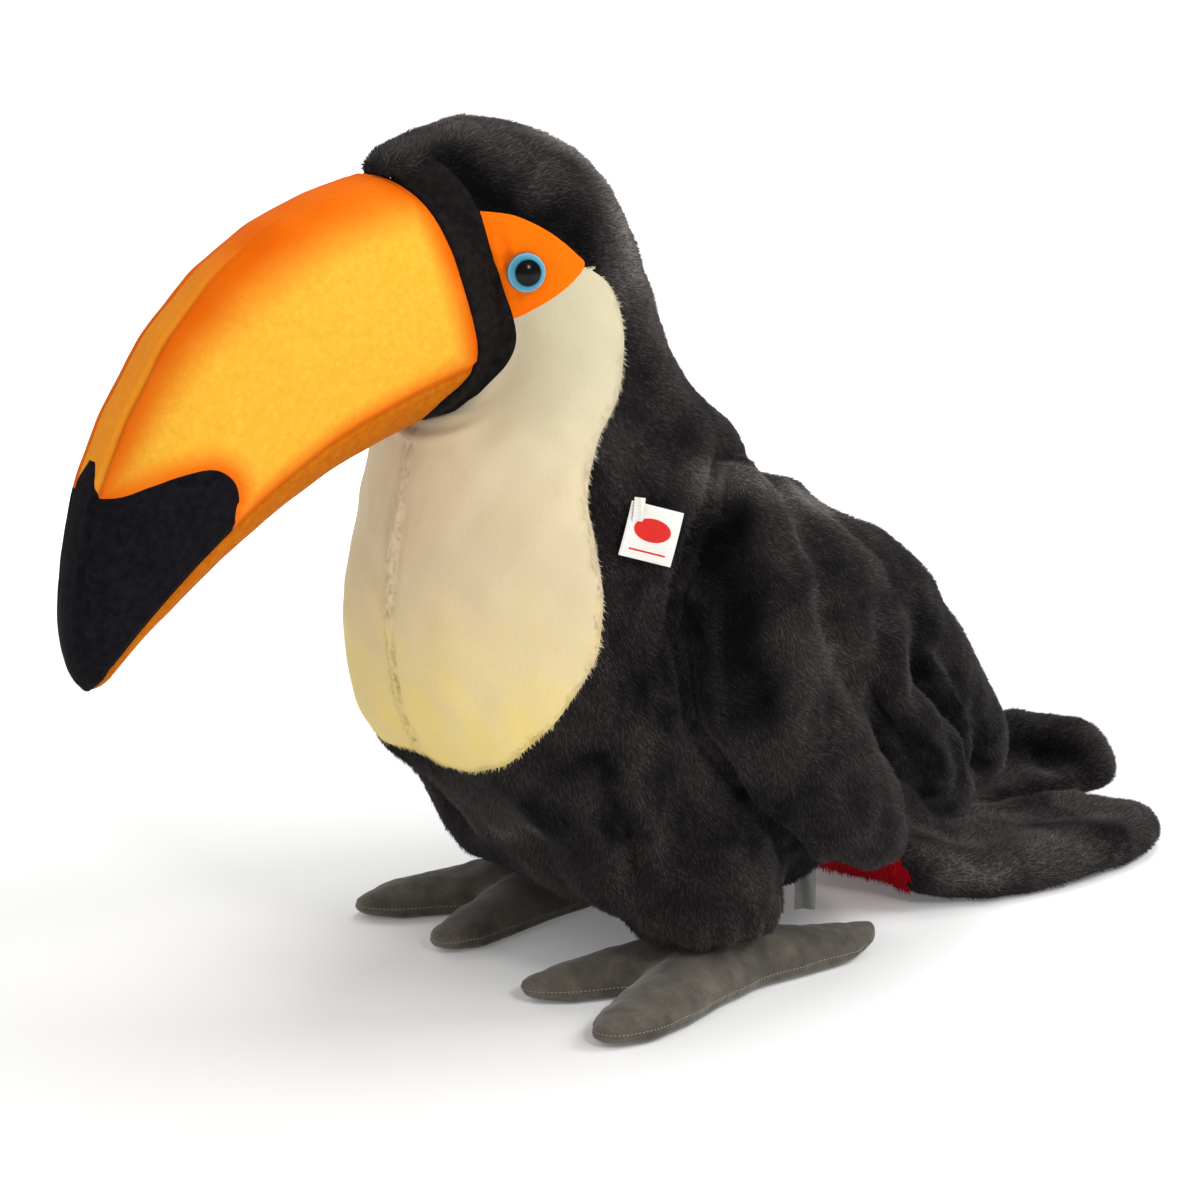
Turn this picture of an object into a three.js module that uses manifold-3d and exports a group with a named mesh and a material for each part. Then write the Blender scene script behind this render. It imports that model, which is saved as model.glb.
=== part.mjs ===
// A large stuffed plush toco toucan that stands on two flat suede feet, with its tail laid behind it.
// Millimetres, +Z up. The bird faces -Y and its left side is +X. The solids reach to the tips of the pile.
import * as THREE from "three";
import { mergeVertices } from "three/addons/utils/BufferGeometryUtils.js";
import Module from "manifold-3d";

const wasm = await Module();
wasm.setup();

const seamGap = 0.3; // clear space between two sewn pieces
const reach = 600; // longer than the toy is wide or tall, for a cut that goes right through
const endCrowding = 0.6; // how much closer the rings of a roll stand at its ends

// The body from belly to crown: height, front, widest place, back (all along Y) and half width.
const bodyStations = [
  [36, 62, 112, 152, 34],
  [40, 16, 92, 178, 70],
  [50, -40, 56, 200, 104],
  [62, -78, 24, 212, 126],
  [84, -108, 4, 222, 139],
  [115, -138, -12, 230, 149],
  [150, -165, -26, 232, 157],
  [190, -191, -42, 222, 163],
  [240, -208, -54, 200, 165],
  [290, -217, -60, 172, 162],
  [330, -217, -64, 142, 157],
  [370, -211, -67, 108, 152],
  [400, -203, -69, 78, 144],
  [430, -196, -71, 48, 131],
  [443, -195, -72, 38, 124],
  [455, -184, -74, 29, 119],
  [467, -168, -76, 22, 114],
  [481, -160, -79, 15, 108],
  [497, -154, -82, 8, 102],
  [514, -151, -85, 2, 98],
  [531, -153, -88, -3, 95],
  [557, -164, -95, -11, 90],
  [585, -178, -105, -23, 84],
  [610, -194, -117, -37, 76],
  [632, -208, -128, -54, 64],
  [648, -211, -136, -74, 50],
  [660, -198, -140, -97, 33],
  [667, -174, -141, -118, 15],
  [669, -150, -141, -132, 5],
];
const bodyRoundness = 2.35;
const bodySides = 26;
const bodyRings = 26;
const neckTop = 486; // where the head ends and the neck begins
const neckBottom = 402; // where the neck ends and the trunk begins

// The bill from inside the head to its tip: top and bottom of each ring (Y, Z) and half width.
const billStations = [
  [-176, 630, -118, 470, 57],
  [-236, 632, -172, 458, 61],
  [-292, 617, -215, 444, 61],
  [-350, 587, -262, 428, 59],
  [-399, 542, -310, 405, 55],
  [-435, 489, -352, 379, 50],
  [-460, 440, -388, 353, 42],
  [-474, 390, -419, 327, 32],
  [-480, 344, -443, 305, 22],
  [-476, 308, -455, 292, 11],
  [-467, 290, -461, 287, 3],
];
const billRoundness = 2.4;
const billSides = 20;
const billRings = 14;
const underStripShare = 0.19; // the orange under-strip comes this far up the sides of the bill
const bandProud = 1.5; // the dark band stands this far over the bill's own surface
const bandFront = [
  [-262, 690], [-232, 646], [-206, 616], [-193, 585], [-184, 556], [-175, 528], [-169, 503], [-176, 485],
  [-195, 466], [-210, 430],
];
const bandRear = [
  [-196, 690], [-196, 650], [-176, 618], [-160, 584], [-148, 544], [-140, 510], [-150, 480], [-170, 440],
];
const tipPatch = [
  [-500, 437], [-457, 433], [-430, 441], [-409, 447], [-386, 449], [-371, 440], [-365, 425], [-366, 400],
  [-350, 250], [-520, 250],
];

// The felt patch round the eye and the domed plastic eye on it, on the left side.
const eyePatchOutline = [
  [-240, 620], [-190, 610], [-160, 607], [-144, 603], [-123, 591], [-105, 575],
  [-99, 567], [-109, 556], [-132, 538], [-150, 524], [-200, 505],
];
const eyePatchInside = 30; // the patch starts this far from the middle plane
const eyeRadius = 14.3;
const eyeDome = [[1, 0], [0.92, 0.24], [0.72, 0.43], [0.4, 0.56], [0, 0.6]]; // radius and rise, in radii
const eyeStem = 4; // the eye's rim is sunk this deep
const eyeCentre = new THREE.Vector3(76, -142, 564);
const eyeFacing = new THREE.Vector3(0.93, -0.34, 0.1).normalize();

// The cream bib's rear edge from under the eye patch down to the belly, seen from the side.
const bibOutline = [
  [-99, 567], [-79, 540], [-71, 508], [-83, 474], [-110, 443], [-127, 408], [-128, 379], [-124, 340],
  [-129, 292], [-149, 248], [-175, 210], [-194, 185], [-240, 176], [-300, 400], [-260, 560],
];

// Each wing is three stuffed fingers that join at the shoulder.
// Place (X, Y, Z), outward direction, half width in the wing's own surface, half thickness.
const wingFingers = {
  front: [
    [116, -8, 406, 0.9, -0.2, 0.4, 34, 11],
    [136, -8, 374, 0.92, -0.2, 0.3, 54, 19],
    [158, -8, 320, 0.98, -0.15, 0.15, 64, 26],
    [168, 8, 250, 1, 0, 0.05, 62, 28],
    [166, 56, 182, 0.97, 0.1, 0, 52, 28],
    [158, 106, 130, 0.95, 0.2, 0, 45, 26],
    [150, 146, 100, 0.93, 0.25, 0, 29, 19],
    [146, 162, 88, 0.93, 0.25, 0, 8, 6],
  ],
  middle: [
    [106, 18, 400, 0.85, 0.1, 0.5, 18, 10],
    [123, 42, 362, 0.86, 0.15, 0.45, 45, 18],
    [146, 86, 310, 0.88, 0.3, 0.3, 50, 25],
    [148, 136, 243, 0.88, 0.4, 0.2, 47, 27],
    [138, 188, 178, 0.85, 0.45, 0.15, 43, 26],
    [126, 226, 128, 0.83, 0.5, 0.1, 35, 23],
    [119, 246, 98, 0.83, 0.5, 0.1, 18, 14],
    [117, 253, 88, 0.83, 0.5, 0.1, 5, 4],
  ],
  rear: [
    [92, 32, 398, 0.7, 0.3, 0.6, 16, 8],
    [98, 70, 362, 0.7, 0.4, 0.58, 37, 16],
    [113, 128, 313, 0.68, 0.55, 0.48, 43, 22],
    [116, 192, 260, 0.65, 0.65, 0.4, 44, 26],
    [105, 248, 200, 0.6, 0.72, 0.33, 41, 26],
    [94, 290, 150, 0.55, 0.78, 0.28, 36, 25],
    [86, 310, 112, 0.55, 0.8, 0.2, 22, 16],
    [83, 316, 97, 0.55, 0.8, 0.2, 6, 5],
  ],
};
const fingerShape = { sides: 10, rings: 9, roundness: 2.2 };

// Tail lobes: place, upward direction, half width, half thickness. The right lobe curls up at its edge.
const tailLobes = {
  left: [
    [34, 186, 70, 0, 0, 1, 26, 12],
    [42, 216, 52, 0, 0, 1, 44, 20],
    [50, 260, 25, 0, 0, 1, 60, 29],
    [56, 320, 18, 0, 0, 1, 69, 27],
    [59, 386, 16, 0, 0, 1, 71, 26],
    [59, 444, 15, 0, 0, 1, 66, 25],
    [56, 492, 16, 0, 0, 1, 52, 21],
    [54, 516, 17, 0, 0, 1, 30, 14],
    [54, 525, 17, 0, 0, 1, 8, 5],
  ],
  right: [
    [-34, 186, 70, 0, 0, 1, 26, 12],
    [-42, 216, 54, -0.02, 0, 1, 44, 20],
    [-48, 260, 34, 0.05, 0, 1, 56, 28],
    [-50, 320, 31, 0.2, 0, 0.98, 62, 25],
    [-48, 390, 37, 0.4, 0, 0.92, 64, 23],
    [-46, 450, 43, 0.5, 0, 0.87, 62, 21],
    [-44, 510, 48, 0.5, 0, 0.87, 52, 18],
    [-42, 548, 50, 0.5, 0, 0.87, 32, 13],
    [-42, 558, 50, 0.5, 0, 0.87, 9, 5],
  ],
};
const lobeShape = { sides: 12, rings: 10, roundness: 2.4 };
const ventStations = [
  [0, 158, 62, 0, 0, 1, 60, 14],
  [0, 180, 52, 0, 0, 1, 76, 24],
  [0, 212, 38, 0, 0, 1, 88, 25],
  [0, 240, 27, 0, 0, 1, 84, 22],
  [0, 258, 22, 0, 0, 1, 72, 16],
];
const ventShape = { sides: 12, rings: 4, roundness: 2.4 };

// Trouser of the left leg: height, middle (X, Y), half width and half depth.
const trouserStations = [
  [40, 108, 6, 34, 44],
  [45, 108, 6, 52, 62],
  [64, 108, 6, 60, 71],
  [92, 108, 4, 63, 78],
  [130, 107, 2, 62, 80],
  [170, 104, 0, 54, 72],
  [204, 100, 0, 38, 52],
  [216, 98, 0, 12, 20],
];
const trouserSides = 14;
const trouserRings = 7;
const trouserRoundness = 2.2;

// Toes of the left foot, from the ankle out: place of the sole seam, half width, height above the seam.
const toes = {
  inner: [
    [104, 44, 9, 24, 24],
    [100, 12, 9, 38, 36],
    [94, -16, 9, 34, 33],
    [84, -50, 9, 29, 27],
    [71, -92, 8, 27, 20],
    [63, -124, 8, 20, 15],
    [59, -138, 7, 7, 6],
  ],
  outer: [
    [108, 40, 9, 26, 24],
    [114, 6, 9, 42, 36],
    [124, -20, 9, 38, 32],
    [139, -52, 9, 34, 27],
    [155, -96, 8, 31, 21],
    [163, -129, 8, 22, 16],
    [165, -145, 7, 7, 6],
  ],
  rear: [
    [108, -40, 9, 26, 24],
    [110, -6, 9, 44, 36],
    [113, 26, 9, 40, 33],
    [119, 62, 9, 33, 27],
    [126, 104, 8, 28, 22],
    [127, 136, 8, 20, 17],
    [126, 151, 8, 7, 7],
  ],
};
const toeShape = { sides: 10, rings: 7, roundness: 2.1, flatUnder: true };
const soleHeight = 1.6; // all that stands is cut flat at this height, which is the floor

// The swing tag hangs over the left breast on a scrap of ribbon. Width, height and thickness.
const tagSize = [44, 40, 0.9];
const tagCentre = new THREE.Vector3(156, -94, 379);
const tagFacing = new THREE.Vector3(0.92, -0.36, 0.13).normalize();
const tagTilt = (-21 * Math.PI) / 180; // its rear corner hangs low
const ribbonSize = [9, 26, 0.9];
const ribbonAlongTag = new THREE.Vector3(-16, 17, 1.5); // its middle, across, up and out from the tag's own
const ribbonLean = (-15 * Math.PI) / 180;

// The satin label sewn in behind the left leg, hanging from the belly.
const labelSize = [17, 34, 0.9];
const labelCentre = new THREE.Vector3(48, 148, 26);
const labelFacing = new THREE.Vector3(0.8, -0.6, 0).normalize();

const blackPlush = { color: 0x2a2829, roughness: 0.95 };
const creamPlush = { color: 0xe2d5a6, roughness: 0.92 };
const yellowVelour = { color: 0xf3b62f, roughness: 0.8 };
const orangeVelour = { color: 0xf58634, roughness: 0.8 };
const tipVelour = { color: 0x0f0e14, roughness: 0.8 };
const bandVelour = { color: 0x1d1b1c, roughness: 0.85 };
const orangeFelt = { color: 0xff7a14, roughness: 0.9 };
const eyePlastic = { color: 0x5fa8bd, roughness: 0.12 };
const greySuede = { color: 0x625d55, roughness: 0.88 };
const redPlush = { color: 0xc4001a, roughness: 0.9 };
const whiteCard = { color: 0xf2f1ee, roughness: 0.6 };
const whiteRibbon = { color: 0xe9e7e1, roughness: 0.7 };
const greySatin = { color: 0xcfcfcb, roughness: 0.5 };

// A solid for joining and cutting from a closed three.js geometry.
function solidOf(geometry) {
  const bare = new THREE.BufferGeometry();
  bare.setAttribute("position", geometry.getAttribute("position"));
  bare.setIndex(geometry.getIndex());
  const merged = mergeVertices(bare, 1e-4);
  return new wasm.Manifold(
    new wasm.Mesh({
      numProp: 3,
      vertProperties: merged.attributes.position.array,
      triVerts: new Uint32Array(merged.index.array),
    }),
  );
}

// Rings with the same number of points, skinned in order and closed at both ends by a fan.
function solidOfRings(rings) {
  const sides = rings[0].length;
  const points = rings.flat();
  const middleOf = (ring) => ring.reduce((sum, p) => sum.add(p), new THREE.Vector3()).divideScalar(sides);
  const firstMiddle = points.push(middleOf(rings[0])) - 1;
  const lastMiddle = points.push(middleOf(rings.at(-1))) - 1;
  const faces = [];
  for (let side = 0; side < sides; side += 1) {
    const next = (side + 1) % sides;
    for (let ring = 0; ring < rings.length - 1; ring += 1) {
      const low = ring * sides;
      const high = low + sides;
      faces.push(low + side, low + next, high + next, low + side, high + next, high + side);
    }
    const top = (rings.length - 1) * sides;
    faces.push(firstMiddle, next, side, lastMiddle, top + side, top + next);
  }
  const geometry = new THREE.BufferGeometry();
  geometry.setAttribute("position", new THREE.Float32BufferAttribute(points.flatMap((p) => p.toArray()), 3));
  geometry.setIndex(faces);
  return solidOf(geometry);
}

// Steps through a list of stations, each number running on a smooth cubic. They are evenly travelled,
// or crowd towards both ends, where a stuffed roll rounds over.
function smoothStations(stations, steps, crowding = 0) {
  const travelled = [0];
  stations.slice(1).forEach((station, i) => {
    const step = Math.hypot(...station.map((value, k) => value - stations[i][k]));
    travelled.push(travelled[i] + step);
  });
  const cubic = new THREE.CubicInterpolant(travelled, stations.flat(), stations[0].length);
  return Array.from({ length: steps + 1 }, (_, i) => {
    const share = i / steps;
    const crowded = share - (crowding * Math.sin(2 * Math.PI * share)) / (2 * Math.PI);
    return Array.from(cubic.evaluate(travelled.at(-1) * crowded));
  });
}

// A point of a rounded oblong: roundness 2 is an ellipse, and more is squarer.
function oblong(turn, roundness) {
  const soften = (value) => Math.sign(value) * Math.abs(value) ** (2 / roundness);
  return [soften(Math.cos(turn)), soften(Math.sin(turn))];
}

function turns(sides) {
  return Array.from({ length: sides }, (_, i) => (2 * Math.PI * i) / sides);
}

// The stuffed body, in level rings. grow makes it larger all round, for cutting a neighbour clear of it.
function bodySolid(grow) {
  const rings = smoothStations(bodyStations, bodyRings).map(([z, front, widest, back, half]) =>
    turns(bodySides).map((turn) => {
      const [across, along] = oblong(turn, bodyRoundness);
      const depth = (along < 0 ? widest - front : back - widest) + grow;
      return new THREE.Vector3(across * (half + grow), widest + along * depth, z);
    }),
  );
  return solidOfRings(rings);
}

function billSolid(grow) {
  const rings = billSteps.map(([topY, topZ, bottomY, bottomZ, half]) => {
    const middle = new THREE.Vector3(0, (topY + bottomY) / 2, (topZ + bottomZ) / 2);
    const up = new THREE.Vector3(0, (topY - bottomY) / 2, (topZ - bottomZ) / 2);
    up.setLength(up.length() + grow);
    return turns(billSides).map((turn) => {
      const [across, along] = oblong(turn, billRoundness);
      return middle.clone().addScaledVector(up, along).add(new THREE.Vector3(across * (half + grow), 0, 0));
    });
  });
  return solidOfRings(rings);
}

// A stuffed roll along a bent line. A station is place, outward direction, half width, half thickness.
// One that is flat under reaches down to Z 0 all along.
function rollSolid(stations, { sides, rings, roundness, flatUnder = false }, grow = 0) {
  const steps = smoothStations(stations, rings, endCrowding);
  const places = steps.map(([x, y, z]) => new THREE.Vector3(x, y, z));
  return solidOfRings(
    steps.map(([, , , outX, outY, outZ, half, thick], i) => {
      const before = places[Math.max(i - 1, 0)];
      const after = places[Math.min(i + 1, places.length - 1)];
      const along = after.clone().sub(before).normalize();
      const wide = new THREE.Vector3(outX, outY, outZ).cross(along).normalize();
      const out = along.clone().cross(wide);
      return turns(sides).map((turn) => {
        const [across, up] = oblong(turn, roundness);
        const depth = flatUnder && up < 0 ? places[i].z : thick;
        return places[i]
          .clone()
          .addScaledVector(wide, across * (half + grow))
          .addScaledVector(out, up * (depth + grow));
      });
    }),
  );
}

// Stations for one side of the toy: side 1 keeps them, and -1 mirrors them across the middle plane.
function onSide(stations, side) {
  return stations.map(([x, y, z, outX, ...rest]) => [side * x, y, z, side * outX, ...rest]);
}

// A slab that goes through X from one place to another, with its outline given in Y and Z.
function slab(outline, fromX = -reach, toX = reach) {
  const shape = new THREE.Shape(outline.map(([y, z]) => new THREE.Vector2(y, z)));
  const geometry = new THREE.ExtrudeGeometry(shape, { depth: toX - fromX, bevelEnabled: false });
  const turned = new THREE.Matrix4().makeBasis(
    new THREE.Vector3(0, 1, 0),
    new THREE.Vector3(0, 0, 1),
    new THREE.Vector3(1, 0, 0),
  );
  geometry.applyMatrix4(turned).translate(fromX, 0, 0);
  return solidOf(geometry);
}

// Everything between two heights.
function layer(low, high) {
  return slab([[-reach, low], [reach, low], [reach, high], [-reach, high]]);
}

// Everything on one side of the middle seam.
function halfSpace(side) {
  const all = [[-reach, -reach], [reach, -reach], [reach, 2 * reach], [-reach, 2 * reach]];
  return side > 0 ? slab(all, seamGap / 2, reach) : slab(all, -reach, -seamGap / 2);
}

// A smooth open curve through a few points.
function curveThrough(points, count) {
  const spline = new THREE.SplineCurve(points.map(([y, z]) => new THREE.Vector2(y, z)));
  return spline.getPoints(count).map((p) => [p.x, p.y]);
}

// An outline moved outward (or inward, with a minus sign) by the same distance all round.
function grown(outline, by) {
  const turnSign = Math.sign(THREE.ShapeUtils.area(outline.map(([y, z]) => new THREE.Vector2(y, z))));
  return outline.map(([y, z], i) => {
    const [beforeY, beforeZ] = outline.at(i - 1);
    const [afterY, afterZ] = outline[(i + 1) % outline.length];
    const length = Math.hypot(afterY - beforeY, afterZ - beforeZ) * turnSign;
    return [y + (by * (afterZ - beforeZ)) / length, z - (by * (afterY - beforeY)) / length];
  });
}

// Axes of a flat piece that faces one way: across and up in its own plane, turned by its tilt.
function flatAxes(facing, tilt) {
  const level = new THREE.Vector3(0, 0, 1).cross(facing).normalize();
  const across = level.applyAxisAngle(facing, tilt);
  return { across, up: facing.clone().cross(across), out: facing };
}

function flatPiece([width, height, thickness], centre, { across, up, out }) {
  const geometry = new THREE.BoxGeometry(width, height, thickness);
  geometry.applyMatrix4(new THREE.Matrix4().makeBasis(across, up, out));
  geometry.translate(centre.x, centre.y, centre.z);
  return solidOf(geometry);
}

const toy = new THREE.Group();

function addPiece(name, solid, finish) {
  const { vertProperties, triVerts } = solid.getMesh();
  const geometry = new THREE.BufferGeometry();
  geometry.setAttribute("position", new THREE.BufferAttribute(vertProperties, 3));
  geometry.setIndex(new THREE.BufferAttribute(triVerts, 1));
  geometry.computeVertexNormals();
  const mesh = new THREE.Mesh(geometry, new THREE.MeshStandardMaterial({ metalness: 0, ...finish }));
  mesh.name = name;
  toy.add(mesh);
}

// The largest connected body of a cut solid: a cut can leave crumbs along its edge.
function mainBody(solid) {
  return solid.decompose().sort((a, b) => b.volume() - a.volume())[0];
}

const sidesOfToy = [["left", 1], ["right", -1]];
const billSteps = smoothStations(billStations, billRings, endCrowding);
const body = bodySolid(0);
const bodyClearance = bodySolid(seamGap);
const underfloor = layer(-reach, soleHeight);

function addBill() {
  const bandFrontCurve = curveThrough(bandFront, 12);
  const bandRearCurve = curveThrough(bandRear, 12);
  const aheadOfBand = [...bandFrontCurve, [-200, 100], [-reach, 100], [-reach, 690]];
  const bandOutline = [...bandFrontCurve, ...bandRearCurve.toReversed()];
  const stripSeam = billSteps.map(([topY, topZ, bottomY, bottomZ]) => [
    bottomY + underStripShare * (topY - bottomY),
    bottomZ + underStripShare * (topZ - bottomZ),
  ]);
  const underStrip = [...stripSeam, [-reach, 250], [-reach, 100], [-100, 100]];
  const bill = billSolid(0).subtract(bodyClearance).intersect(slab(aheadOfBand));
  const above = bill.subtract(slab(grown(underStrip, seamGap)));
  const band = billSolid(bandProud).subtract(bodyClearance).intersect(slab(grown(bandOutline, -seamGap)));
  addPiece("bill_upper", mainBody(above.subtract(slab(grown(tipPatch, seamGap)))), yellowVelour);
  addPiece("bill_tip", mainBody(above.intersect(slab(tipPatch))), tipVelour);
  addPiece("bill_under_strip", mainBody(bill.intersect(slab(underStrip))), orangeVelour);
  addPiece("bill_band", mainBody(band), bandVelour);
}

function eyeSolid(side, grow) {
  const mirror = new THREE.Vector3(side, 1, 1);
  const radius = eyeRadius + grow;
  const dome = eyeDome.map(([out, rise]) => new THREE.Vector2(out * radius, rise * radius));
  const stem = [0, radius].map((out) => new THREE.Vector2(out, -eyeStem - grow));
  const eye = new THREE.LatheGeometry([...stem, ...dome], 16);
  const facing = eyeFacing.clone().multiply(mirror);
  eye.applyQuaternion(new THREE.Quaternion().setFromUnitVectors(new THREE.Vector3(0, 1, 0), facing));
  eye.translate(eyeCentre.x * side, eyeCentre.y, eyeCentre.z);
  return solidOf(eye);
}

// Returns the space that the felt patches fill.
function addEyes() {
  const outline = curveThrough(eyePatchOutline, 18);
  const sockets = sidesOfToy.map(([sideName, side]) => {
    const [from, to] = side > 0 ? [eyePatchInside, reach] : [-reach, -eyePatchInside];
    addPiece("eye_" + sideName, eyeSolid(side, 0), eyePlastic);
    const patch = body.intersect(slab(outline, from, to)).subtract(eyeSolid(side, seamGap));
    addPiece("eye_patch_" + sideName, mainBody(patch), orangeFelt);
    return slab(grown(outline, seamGap), from, to);
  });
  return sockets[0].add(sockets[1]);
}

// Three stuffed toes that meet under the ankle.
function footSolid(side, grow) {
  const rolls = [toes.inner, toes.outer, toes.rear].map((stations) => {
    const upward = stations.map(([x, y, z, half, thick]) => [side * x, y, z, 0, 0, 1, half, thick]);
    return rollSolid(upward, toeShape, grow);
  });
  return rolls[0].add(rolls[1]).add(rolls[2]);
}

function trouserSolid(side, grow) {
  const rings = smoothStations(trouserStations, trouserRings).map(([z, x, y, half, depth]) =>
    turns(trouserSides).map((turn) => {
      const [across, along] = oblong(turn, trouserRoundness);
      return new THREE.Vector3(side * x + across * (half + grow), y + along * (depth + grow), z);
    }),
  );
  return solidOfRings(rings);
}

// Returns the space that the trousers fill.
function addLegs() {
  for (const [sideName, side] of sidesOfToy) {
    addPiece("foot_" + sideName, mainBody(footSolid(side, 0).subtract(underfloor)), greySuede);
    const trouser = trouserSolid(side, 0).subtract(footSolid(side, seamGap));
    addPiece("leg_" + sideName, mainBody(trouser), blackPlush);
  }
  return trouserSolid(1, seamGap).add(trouserSolid(-1, seamGap));
}

// Two lobes side by side over the red patch under the vent. Returns the space that they fill.
function addTail(occupied) {
  const vent = rollSolid(ventStations, ventShape);
  const ventClearance = rollSolid(ventStations, ventShape, seamGap);
  addPiece("vent_patch", mainBody(vent.subtract(occupied).subtract(underfloor)), redPlush);
  for (const [sideName, side] of sidesOfToy) {
    const lobe = rollSolid(tailLobes[sideName], lobeShape).intersect(halfSpace(side));
    const clear = lobe.subtract(occupied).subtract(ventClearance).subtract(underfloor);
    addPiece("tail_" + sideName, mainBody(clear), blackPlush);
  }
  const lobes = sidesOfToy.map(([sideName]) => rollSolid(tailLobes[sideName], lobeShape, seamGap));
  return lobes[0].add(lobes[1]).add(ventClearance);
}

function addWings(occupied) {
  for (const [sideName, side] of sidesOfToy) {
    const routes = Object.values(wingFingers).map((stations) => onSide(stations, side));
    const fingers = routes.map((stations) => rollSolid(stations, fingerShape));
    const wing = fingers[0].add(fingers[1]).add(fingers[2]).subtract(occupied);
    addPiece("wing_" + sideName, mainBody(wing.intersect(halfSpace(side))), blackPlush);
  }
}

// Bib halves with their middle seam, then head, neck and trunk parted by thin level cuts.
function addBody(legSpace, eyeSpace) {
  const outline = curveThrough(bibOutline, 26);
  const bib = body.intersect(slab(outline)).subtract(eyeSpace);
  const rest = body.subtract(legSpace).subtract(slab(grown(outline, seamGap))).subtract(eyeSpace);
  const halfGap = seamGap / 2;
  for (const [sideName, side] of sidesOfToy) {
    addPiece("bib_" + sideName, mainBody(bib.intersect(halfSpace(side))), creamPlush);
  }
  addPiece("head", mainBody(rest.intersect(layer(neckTop + halfGap, 2 * reach))), blackPlush);
  addPiece("neck", mainBody(rest.intersect(layer(neckBottom + halfGap, neckTop - halfGap))), blackPlush);
  addPiece("trunk", mainBody(rest.intersect(layer(-reach, neckBottom - halfGap))), blackPlush);
}

function addTags(occupied) {
  const tagAxes = flatAxes(tagFacing, tagTilt);
  addPiece("swing_tag", flatPiece(tagSize, tagCentre, tagAxes), whiteCard);
  const ribbonCentre = tagCentre
    .clone()
    .addScaledVector(tagAxes.across, ribbonAlongTag.x)
    .addScaledVector(tagAxes.up, ribbonAlongTag.y)
    .addScaledVector(tagAxes.out, ribbonAlongTag.z);
  const ribbon = flatPiece(ribbonSize, ribbonCentre, flatAxes(tagFacing, tagTilt + ribbonLean));
  addPiece("tag_ribbon", ribbon, whiteRibbon);
  const label = flatPiece(labelSize, labelCentre, flatAxes(labelFacing, 0)).subtract(occupied);
  addPiece("sewn_label", mainBody(label), greySatin);
}

addBill();
const eyeSpace = addEyes();
const legSpace = addLegs();
const tailSpace = addTail(bodyClearance.add(legSpace));
addWings(bodyClearance.add(legSpace).add(tailSpace));
addBody(legSpace, eyeSpace);
addTags(bodyClearance.add(tailSpace));

// Stand the toy with its origin under the middle of its box, on the floor.
toy.updateMatrixWorld(true);
const box = new THREE.Box3().setFromObject(toy);
const middle = box.getCenter(new THREE.Vector3());
toy.position.set(-middle.x, -middle.y, -box.min.z);

export default toy;
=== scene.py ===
# A large stuffed plush toucan on suede feet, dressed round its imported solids.
# Points are worked in the part's own drawing frame, in mm, and go out in metres.
# The bird faces -Y, and its left is +X.
import math

import bmesh
import bpy
import numpy as np
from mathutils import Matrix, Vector
from mathutils.bvhtree import BVHTree


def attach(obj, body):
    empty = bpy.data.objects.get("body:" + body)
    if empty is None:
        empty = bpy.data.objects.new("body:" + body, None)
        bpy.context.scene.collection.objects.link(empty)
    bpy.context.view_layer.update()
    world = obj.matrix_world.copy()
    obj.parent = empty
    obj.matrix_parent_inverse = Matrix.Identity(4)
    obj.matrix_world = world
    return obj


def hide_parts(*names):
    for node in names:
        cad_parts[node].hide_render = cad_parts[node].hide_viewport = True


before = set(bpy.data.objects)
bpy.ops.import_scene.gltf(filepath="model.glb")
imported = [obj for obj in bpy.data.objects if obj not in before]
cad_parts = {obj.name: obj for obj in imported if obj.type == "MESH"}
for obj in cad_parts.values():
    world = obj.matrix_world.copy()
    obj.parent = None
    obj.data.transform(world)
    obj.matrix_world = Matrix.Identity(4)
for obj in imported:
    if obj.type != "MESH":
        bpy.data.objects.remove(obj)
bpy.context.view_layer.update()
mm = 0.001
rowShift = np.array([0.0, -39.3595, -1.6])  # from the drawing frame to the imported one
floorLevel = 1.6  # height of the floor in the drawing frame
bodyHalf, billHalf, patchInner = 260, 120, 30  # X that cuts reach on either side, and where the felt starts
rng = np.random.default_rng(7)
mapName = "OFBake"  # each tuft's colour is read at its root's place on this map


def toRow(points):
    return (np.asarray(points, float) + rowShift) * mm


def toDrawing(points):
    return np.asarray(points, float) / mm - rowShift


def unit(vectors):
    return vectors / np.maximum(np.linalg.norm(vectors, axis=-1, keepdims=True), 1e-9)


def ramp(values, start, end):  # 0 before start, 1 after end, eased between
    share = np.clip((values - start) / (end - start), 0, 1)
    return share * share * (3 - 2 * share)


def bell(values, width):  # 1 at nought, and next to nothing beyond twice the width
    return np.exp(-((values / width) ** 2))


def smoothLine(points, steps=6, closed=False):  # a spline through a few named points
    points = np.array(points, float)
    count = len(points)
    out = []
    for i in range(count if closed else count - 1):
        if closed:
            a, b, c, d = (points[(i + k) % count] for k in (-1, 0, 1, 2))
        else:
            a, b, c, d = (points[min(max(i + k, 0), count - 1)] for k in (-1, 0, 1, 2))
        for t in np.arange(steps) / steps:
            curve = 2 * b + (c - a) * t + (2 * a - 5 * b + 4 * c - d) * t**2 + (3 * b - a - 3 * c + d) * t**3
            out.append(0.5 * curve)
    if not closed:
        out.append(points[-1])
    return np.array(out)


def alongLine(points, line, closed=False):  # distance to a line, how far along it (in points), and the side
    best = np.full(len(points), 1e9)
    travelled = np.zeros(len(points))
    side = np.zeros(len(points))
    for i in range(len(line) if closed else len(line) - 1):
        start = line[i]
        step = line[(i + 1) % len(line)] - start
        reach = points - start
        share = np.clip(reach @ step / (step @ step), 0, 1)
        gap = np.linalg.norm(reach - share[:, None] * step, axis=1)
        nearer = gap < best
        best[nearer] = gap[nearer]
        travelled[nearer] = i + share[nearer]
        if line.shape[1] == 2:
            side[nearer] = (step[0] * reach[:, 1] - step[1] * reach[:, 0])[nearer]
    return best, travelled, np.sign(side)


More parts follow.
